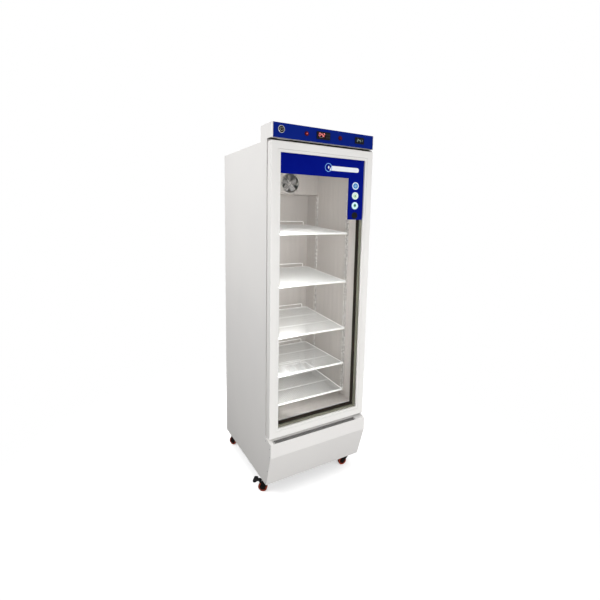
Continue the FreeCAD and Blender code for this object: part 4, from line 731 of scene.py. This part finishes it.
# Strip that reaches further in than the spacer: its inner edge is half an oval, edge * cos by deep / 2 * sin.
def makeInnerTrim():
    lo, hi = low("glass_spacer"), high("glass_spacer")
    y0 = high("glass_panes")[1] + trim["air"]
    half = trim["deep"] / 2
    bend = np.linspace(-math.pi / 2, math.pi / 2, 9)
    inset = trim["to"] - trim["edge"] + trim["edge"] * np.cos(bend)
    tip = np.column_stack([inset, y0 + half + half * np.sin(bend)])
    profile = np.concatenate([[(0.0, y0)], tip, [(0.0, y0 + trim["deep"])]])
    points, faces = sweptFrame(profile, lo[0] - trim["leftOut"], hi[0], lo[2], hi[2])
    meshPiece("innerTrim", points, faces, ["trimBlack"], "door", "rubber")


makeInnerTrim()
print("inner trim")


# Dark mat under the intake grille, painted shade that makes the slots look black

filterMat = {"drop": 0.0022, "thick": 0.003, "margin": 0.002}


# Plate that follows the grille's slope: point = lip + along * run - normal * drop.
def makeSlotShadeMat():
    lo, hi = low("intake_grille"), high("intake_grille")
    slope = np.array([0, hi[1] - lo[1], hi[2] - lo[2]])
    normal = np.array([0, -slope[2], slope[1]]) / np.linalg.norm(slope)
    x0, x1 = lo[0] + filterMat["margin"], hi[0] - filterMat["margin"]
    lip = np.array([0, lo[1], lo[2]])
    points = []
    for drop in (filterMat["drop"], filterMat["drop"] + filterMat["thick"]):
        for x, way in ((x0, 0), (x1, 0), (x1, 1), (x0, 1)):
            points.append(lip + slope * way - normal * drop + np.array([x, 0, 0]))
    platePiece("filterMat", [(points, slabFaces(4))], "filterMat", "cabinet", "rubber")


makeSlotShadeMat()
print("filter mat")


# Dark strip in the gap under the header: painted shade of the shadowed gap

shadeStrip = {
    "sideIn": 0.0008, "thick": 0.0006, "off": 0.0002, "frontIn": 0.0006, "rearOff": 0.0006, "slotAir": 0.0020,
    "lipIn": 0.002, "level": 0.0004, "endIn": 0.01,
}


# Thin dark plate under the header, painted shade for the gap, from its lower front edge back to the cabinet's
# face, in three boxes that leave the lock cam's slot open: the slot is where the underside has points between
# its two ends.
def makeShadeStrip():
    b = shadeStrip
    lo, hi, face = low("header_shell"), high("header_shell"), low("front_frame")[1]
    points = nodePoints("header_shell")
    lip = points[points[:, 1] < face - b["lipIn"]]
    under = lip[:, 2].min()
    slot = lip[(lip[:, 2] < under + b["level"]) & (np.abs(lip[:, 0]) < hi[0] - b["endIn"])]
    slotLow, slotHigh = slot.min(axis=0) - b["slotAir"], slot.max(axis=0) + b["slotAir"]
    y0, y1, z1 = lo[1] + b["frontIn"], face - b["rearOff"], under - b["off"]
    left, right = lo[0] + b["sideIn"], hi[0] - b["sideIn"]
    parts = []
    behindSlot = (slotLow[0], slotHigh[0], slotHigh[1])
    for x0, x1, start in ((left, slotLow[0], y0), behindSlot, (slotHigh[0], right, y0)):
        parts.append(flatShape(rectangle(x0, x1, z1 - b["thick"], z1), start, y1 - start))
    platePiece("headerShadeStrip", parts, "trimBlack", "cabinet", "rubber")


makeShadeStrip()
print("header brush")


# Cross recesses of the screws, painted dark as painted shade in the recess

screwCross = {"arm": 0.0017, "half": 0.00035, "proud": 0.00006,
              "doorHeights": (1.110, 1.257), "doorSetBack": 0.017}


# Lowest and highest corner of each bunch of a node's points that lie within reach of the bunch's first point.
def screwPlaces(node, reach=0.02):
    points = nodePoints(node)
    places = []
    while len(points):
        near = np.linalg.norm(points - points[0], axis=1) < reach
        places.append((points[near].min(axis=0), points[near].max(axis=0)))
        points = points[~near]
    return places


# Two thin bars crossed on a screw head that faces along X, painted dark as the shade in its cross recess:
# rectangles in (y, z) at x + proud and x - proud.
def crossParts(x, y, z, side):
    arm, half, proud = screwCross["arm"], screwCross["half"], screwCross["proud"] * side
    parts = []
    for reachY, reachZ in ((half, arm), (arm, half)):
        outline = rectangle(y - reachY, y + reachY, z - reachZ, z + reachZ)
        points = [(x + proud, *corner) for corner in outline] + [(x - proud, *corner) for corner in outline]
        parts.append((points, [face[::side] for face in slabFaces(4)]))
    return parts


# A cross on each screw of the kick panel, and on the two in the door's left side.
def makeCrosses():
    parts = []
    for lo, hi in screwPlaces("kick_screws"):
        side = 1 if lo[0] > 0 else -1
        parts += crossParts(hi[0] if side > 0 else lo[0], (lo[1] + hi[1]) / 2, (lo[2] + hi[2]) / 2, side)
    platePiece("kickScrewCrosses", parts, "satinBlack", "cabinet", "screw")
    lo = low("door_frame")
    parts = []
    for z in screwCross["doorHeights"]:
        parts += crossParts(lo[0], lo[1] + screwCross["doorSetBack"], z, -1)
    platePiece("doorScrewCrosses", parts, "greyPlastic", "door", "screw")


makeCrosses()
print("screw crosses")


# Wheels

wheel = {
    "tyre": 0.0248, "halfWidth": 0.0088, "crown": 0.0022,
    "rim": 0.0168, "rimSlope": 0.0010, "rimLand": 0.0008, "rimStep": 0.0006, "web": 0.0050,
    "hub": 0.0088, "hubHalf": 0.0093, "hubBevel": 0.0008, "hubFlare": 0.0006, "bore": 0.0032,
    "cap": 0.0046, "capRise": 0.0016, "capTip": 0.0002, "legFace": 0.0124,
}


# Half outline of (radius, height) from hub to tyre, whose shoulder is a quarter circle of the crown's radius,
# then its mirror image. Stretches inside the rim belong to the core.
def wheelProfile():
    w = wheel
    bend = np.linspace(0, math.pi / 2, 7)
    shoulder = np.column_stack([w["tyre"] - w["crown"] * (1 - np.sin(bend)),
                                w["halfWidth"] - w["crown"] * (1 - np.cos(bend))])
    half = [(w["bore"], w["hubHalf"]), (w["hub"] - w["hubBevel"], w["hubHalf"]),
            (w["hub"], w["hubHalf"] - w["hubBevel"]), (w["hub"] + w["hubFlare"], w["web"]),
            (w["rim"] - w["rimSlope"], w["web"]), (w["rim"], w["halfWidth"] - w["rimStep"]),
            (w["rim"] + w["rimLand"], w["halfWidth"])]
    half = np.concatenate([half, shoulder])
    profile = np.concatenate([half, half[::-1] * [1, -1], half[:1]])
    core = np.minimum(profile[:-1, 0], profile[1:, 0]) < w["rim"] - w["rimSlope"] / 2
    return profile, core


# Rounded caps on both ends of an axle: each is the curve (cap * cos, capRise * sin) turned about the axle.
def capParts(centre, axis):
    turn = np.linspace(0, math.pi / 2, 8)
    dome = np.column_stack([wheel["cap"] * np.cos(turn), wheel["capRise"] * np.sin(turn)])
    dome[-1] = (wheel["capTip"], wheel["capRise"])
    points, faces = turned(dome, 24)
    return [(toAxis(points, way, centre + way * wheel["legFace"]), faces) for way in (axis, -axis)]


# Each wheel is the profile turned about its own axle. The caps stay on the fork.
def makeWheels(steps=64):
    profile, core = wheelProfile()
    points, faces = turned(profile, steps)
    groups = np.repeat(core, steps)
    for corner in ("fl", "fr", "rl", "rr"):
        joint = joints["wheel_%s_roll" % corner]
        centre, axis = np.array(joint["pos_m"]), np.array(joint["axis"])
        placed = toAxis(points, axis, centre)
        piece = meshPiece("wheelForm_" + corner, placed, faces, ["wheelRed", "wheelCore"], "wheel_" + corner,
                          "wheel_red", groups=groups)
        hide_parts("caster_wheel_" + corner)
        capPoints, capFaces = joined(capParts(centre, axis))
        meshPiece("axleCaps_" + corner, capPoints, capFaces, ["screwSteel"], "swivel_" + corner, "bare_steel")


makeWheels()
print("wheels")


# Studio

camera = {
    "place": (-1.0842, -1.9457, 1.4705), "azimuth": -29.604, "elevation": 7.749, "roll": 0.906,
    "lens": 22.975, "sensor": 36, "shiftX": 0.0069, "shiftY": -0.0524, "near": 0.05, "far": 60,
}


# The view runs against (sin a cos e, -cos a cos e, sin e), and the picture is then turned by the roll.
def makeCamera():
    a, e, r = (math.radians(camera[key]) for key in ("azimuth", "elevation", "roll"))
    back = Vector((math.sin(a) * math.cos(e), -math.cos(a) * math.cos(e), math.sin(e)))
    right = (-back).cross(Vector((0, 0, 1))).normalized()
    up = right.cross(-back)
    rolledRight = math.cos(r) * right + math.sin(r) * up
    rolledUp = -math.sin(r) * right + math.cos(r) * up
    data = bpy.data.cameras.new("photoCamera")
    data.lens, data.sensor_width = camera["lens"], camera["sensor"]
    data.shift_x, data.shift_y = camera["shiftX"], camera["shiftY"]
    data.clip_start, data.clip_end = camera["near"], camera["far"]
    holder = bpy.data.objects.new("photoCamera", data)
    turn = Matrix((rolledRight, rolledUp, back)).transposed()
    holder.matrix_world = Matrix.Translation(camera["place"]) @ turn.to_4x4()
    scene.collection.objects.link(holder)
    scene.camera = holder


studio = {
    "skyLow": 0.04, "skyHigh": 0.71, "background": 1.0,
    "floorSeen": (0.93, 0.93, 0.93), "floorBounce": (0.10, 0.095, 0.09), "floorLift": 0.45,
    "floorSize": 4.0, "fadeFrom": 0.7, "fadeTo": 1.7,
    "lamps": {
        "keyRight": {"place": (2.0, -3.3, 0.8), "aim": (0, 0, 0.3), "size": (2.4, 1.6), "power": 50},
        "frontLeft": {"place": (-0.9, -3.6, 0.8), "aim": (0, 0, 0.7), "size": (2.0, 1.6), "power": 51},
        "upperLeft": {"place": (-2.0, 0.05, 2.0), "aim": (-0.3, 0, 1.4), "size": (1.0, 1.0), "power": 22},
        "rearFill": {"place": (0.6, 3.0, 2.8), "aim": (0, 0, 1.0), "size": (2.2, 2.2), "power": 34},
        "insideFill": {"place": (-0.19, -0.238, 1.12), "aim": (0.22, 0.12, 1.12), "size": (0.06, 1.24),
                       "power": 3.3},
    },
    "unseenInGloss": ("insideFill", "keyRight"),
}


# Seen by the camera the floor is floorSeen and lifted by floorLift, and to all else it is floorBounce. It
# fades by a smooth step of the distance from the centre: full inside fadeFrom, nothing beyond fadeTo.
def makeFloorLook():
    look = bpy.data.materials.new("floorWhite")
    look.use_nodes = True
    nodes, links = look.node_tree.nodes, look.node_tree.links
    nodes.clear()
    output = addNode(nodes, "OutputMaterial")
    path = addNode(nodes, "LightPath")
    tones = {6: (*studio["floorBounce"], 1), 7: (*studio["floorSeen"], 1)}
    tone = addNode(nodes, "Mix", tones, data_type="RGBA")
    links.new(path.outputs["Is Camera Ray"], tone.inputs[0])
    matt = addNode(nodes, "BsdfDiffuse")
    links.new(tone.outputs[2], matt.inputs["Color"])
    strength = addNode(nodes, "Math", {1: studio["floorLift"]}, operation="MULTIPLY")
    links.new(path.outputs["Is Camera Ray"], strength.inputs[0])
    lift = addNode(nodes, "Emission")
    links.new(strength.outputs["Value"], lift.inputs["Strength"])
    lit = addNode(nodes, "AddShader")
    links.new(matt.outputs["BSDF"], lit.inputs[0])
    links.new(lift.outputs["Emission"], lit.inputs[1])
    place = addNode(nodes, "TexCoord")
    away = addNode(nodes, "VectorMath", operation="LENGTH")
    links.new(place.outputs["Object"], away.inputs[0])
    fades = {"From Min": studio["fadeFrom"], "From Max": studio["fadeTo"]}
    fade = addNode(nodes, "MapRange", fades, interpolation_type="SMOOTHSTEP")
    links.new(away.outputs["Value"], fade.inputs["Value"])
    clear = addNode(nodes, "BsdfTransparent")
    mix = addNode(nodes, "MixShader")
    links.new(fade.outputs["Result"], mix.inputs["Fac"])
    links.new(lit.outputs["Shader"], mix.inputs[1])
    links.new(clear.outputs["BSDF"], mix.inputs[2])
    links.new(mix.outputs["Shader"], output.inputs["Surface"])
    return look


# Sky strength climbs from skyLow to skyHigh as the direction's z goes from -0.5 to 0.5, and the camera sees
# plain white.
def makeSky():
    world = bpy.data.worlds.new("paleStudio")
    world.use_nodes = True
    nodes, links = world.node_tree.nodes, world.node_tree.links
    nodes.clear()
    white = (1, 1, 1, 1)
    output = addNode(nodes, "OutputWorld")
    soft = addNode(nodes, "Background", {"Color": white})
    place = addNode(nodes, "TexCoord")
    parts = addNode(nodes, "SeparateXYZ")
    links.new(place.outputs["Generated"], parts.inputs["Vector"])
    climb = addNode(nodes, "MapRange", {"From Min": -0.5, "From Max": 0.5,
                                        "To Min": studio["skyLow"], "To Max": studio["skyHigh"]})
    links.new(parts.outputs["Z"], climb.inputs["Value"])
    links.new(climb.outputs["Result"], soft.inputs["Strength"])
    plain = addNode(nodes, "Background", {"Color": white, "Strength": studio["background"]})
    path = addNode(nodes, "LightPath")
    either = addNode(nodes, "Math", operation="MAXIMUM")
    links.new(path.outputs["Is Camera Ray"], either.inputs[0])
    links.new(path.outputs["Is Transmission Ray"], either.inputs[1])
    mix = addNode(nodes, "MixShader")
    links.new(either.outputs["Value"], mix.inputs["Fac"])
    links.new(soft.outputs["Background"], mix.inputs[1])
    links.new(plain.outputs["Background"], mix.inputs[2])
    links.new(mix.outputs["Shader"], output.inputs["Surface"])
    scene.world = world


# A square floor, and lamps that each look from their place to their aim.
def makeStudio():
    size = studio["floorSize"]
    mesh = bpy.data.meshes.new("studioFloor")
    corners = [(x, y, 0) for x, y in rectangle(-size, size, -size, size)]
    mesh.from_pydata(corners, [], [(0, 1, 2, 3)])
    floor = bpy.data.objects.new("studioFloor", mesh)
    scene.collection.objects.link(floor)
    mesh.materials.append(makeFloorLook())

    for name, spec in studio["lamps"].items():
        data = bpy.data.lights.new(name, "AREA")
        data.shape = "RECTANGLE"
        data.size, data.size_y = spec["size"]
        data.energy = spec["power"]
        lamp = bpy.data.objects.new(name, data)
        place = Vector(spec["place"])
        lamp.location = place
        lamp.rotation_euler = (Vector(spec["aim"]) - place).to_track_quat("-Z", "Y").to_euler()
        lamp.visible_camera = False
        lamp.visible_glossy = name not in studio["unseenInGloss"]
        scene.collection.objects.link(lamp)
    scene.view_settings.view_transform = "Standard"


makeCamera()
makeSky()
makeStudio()
print("studio")
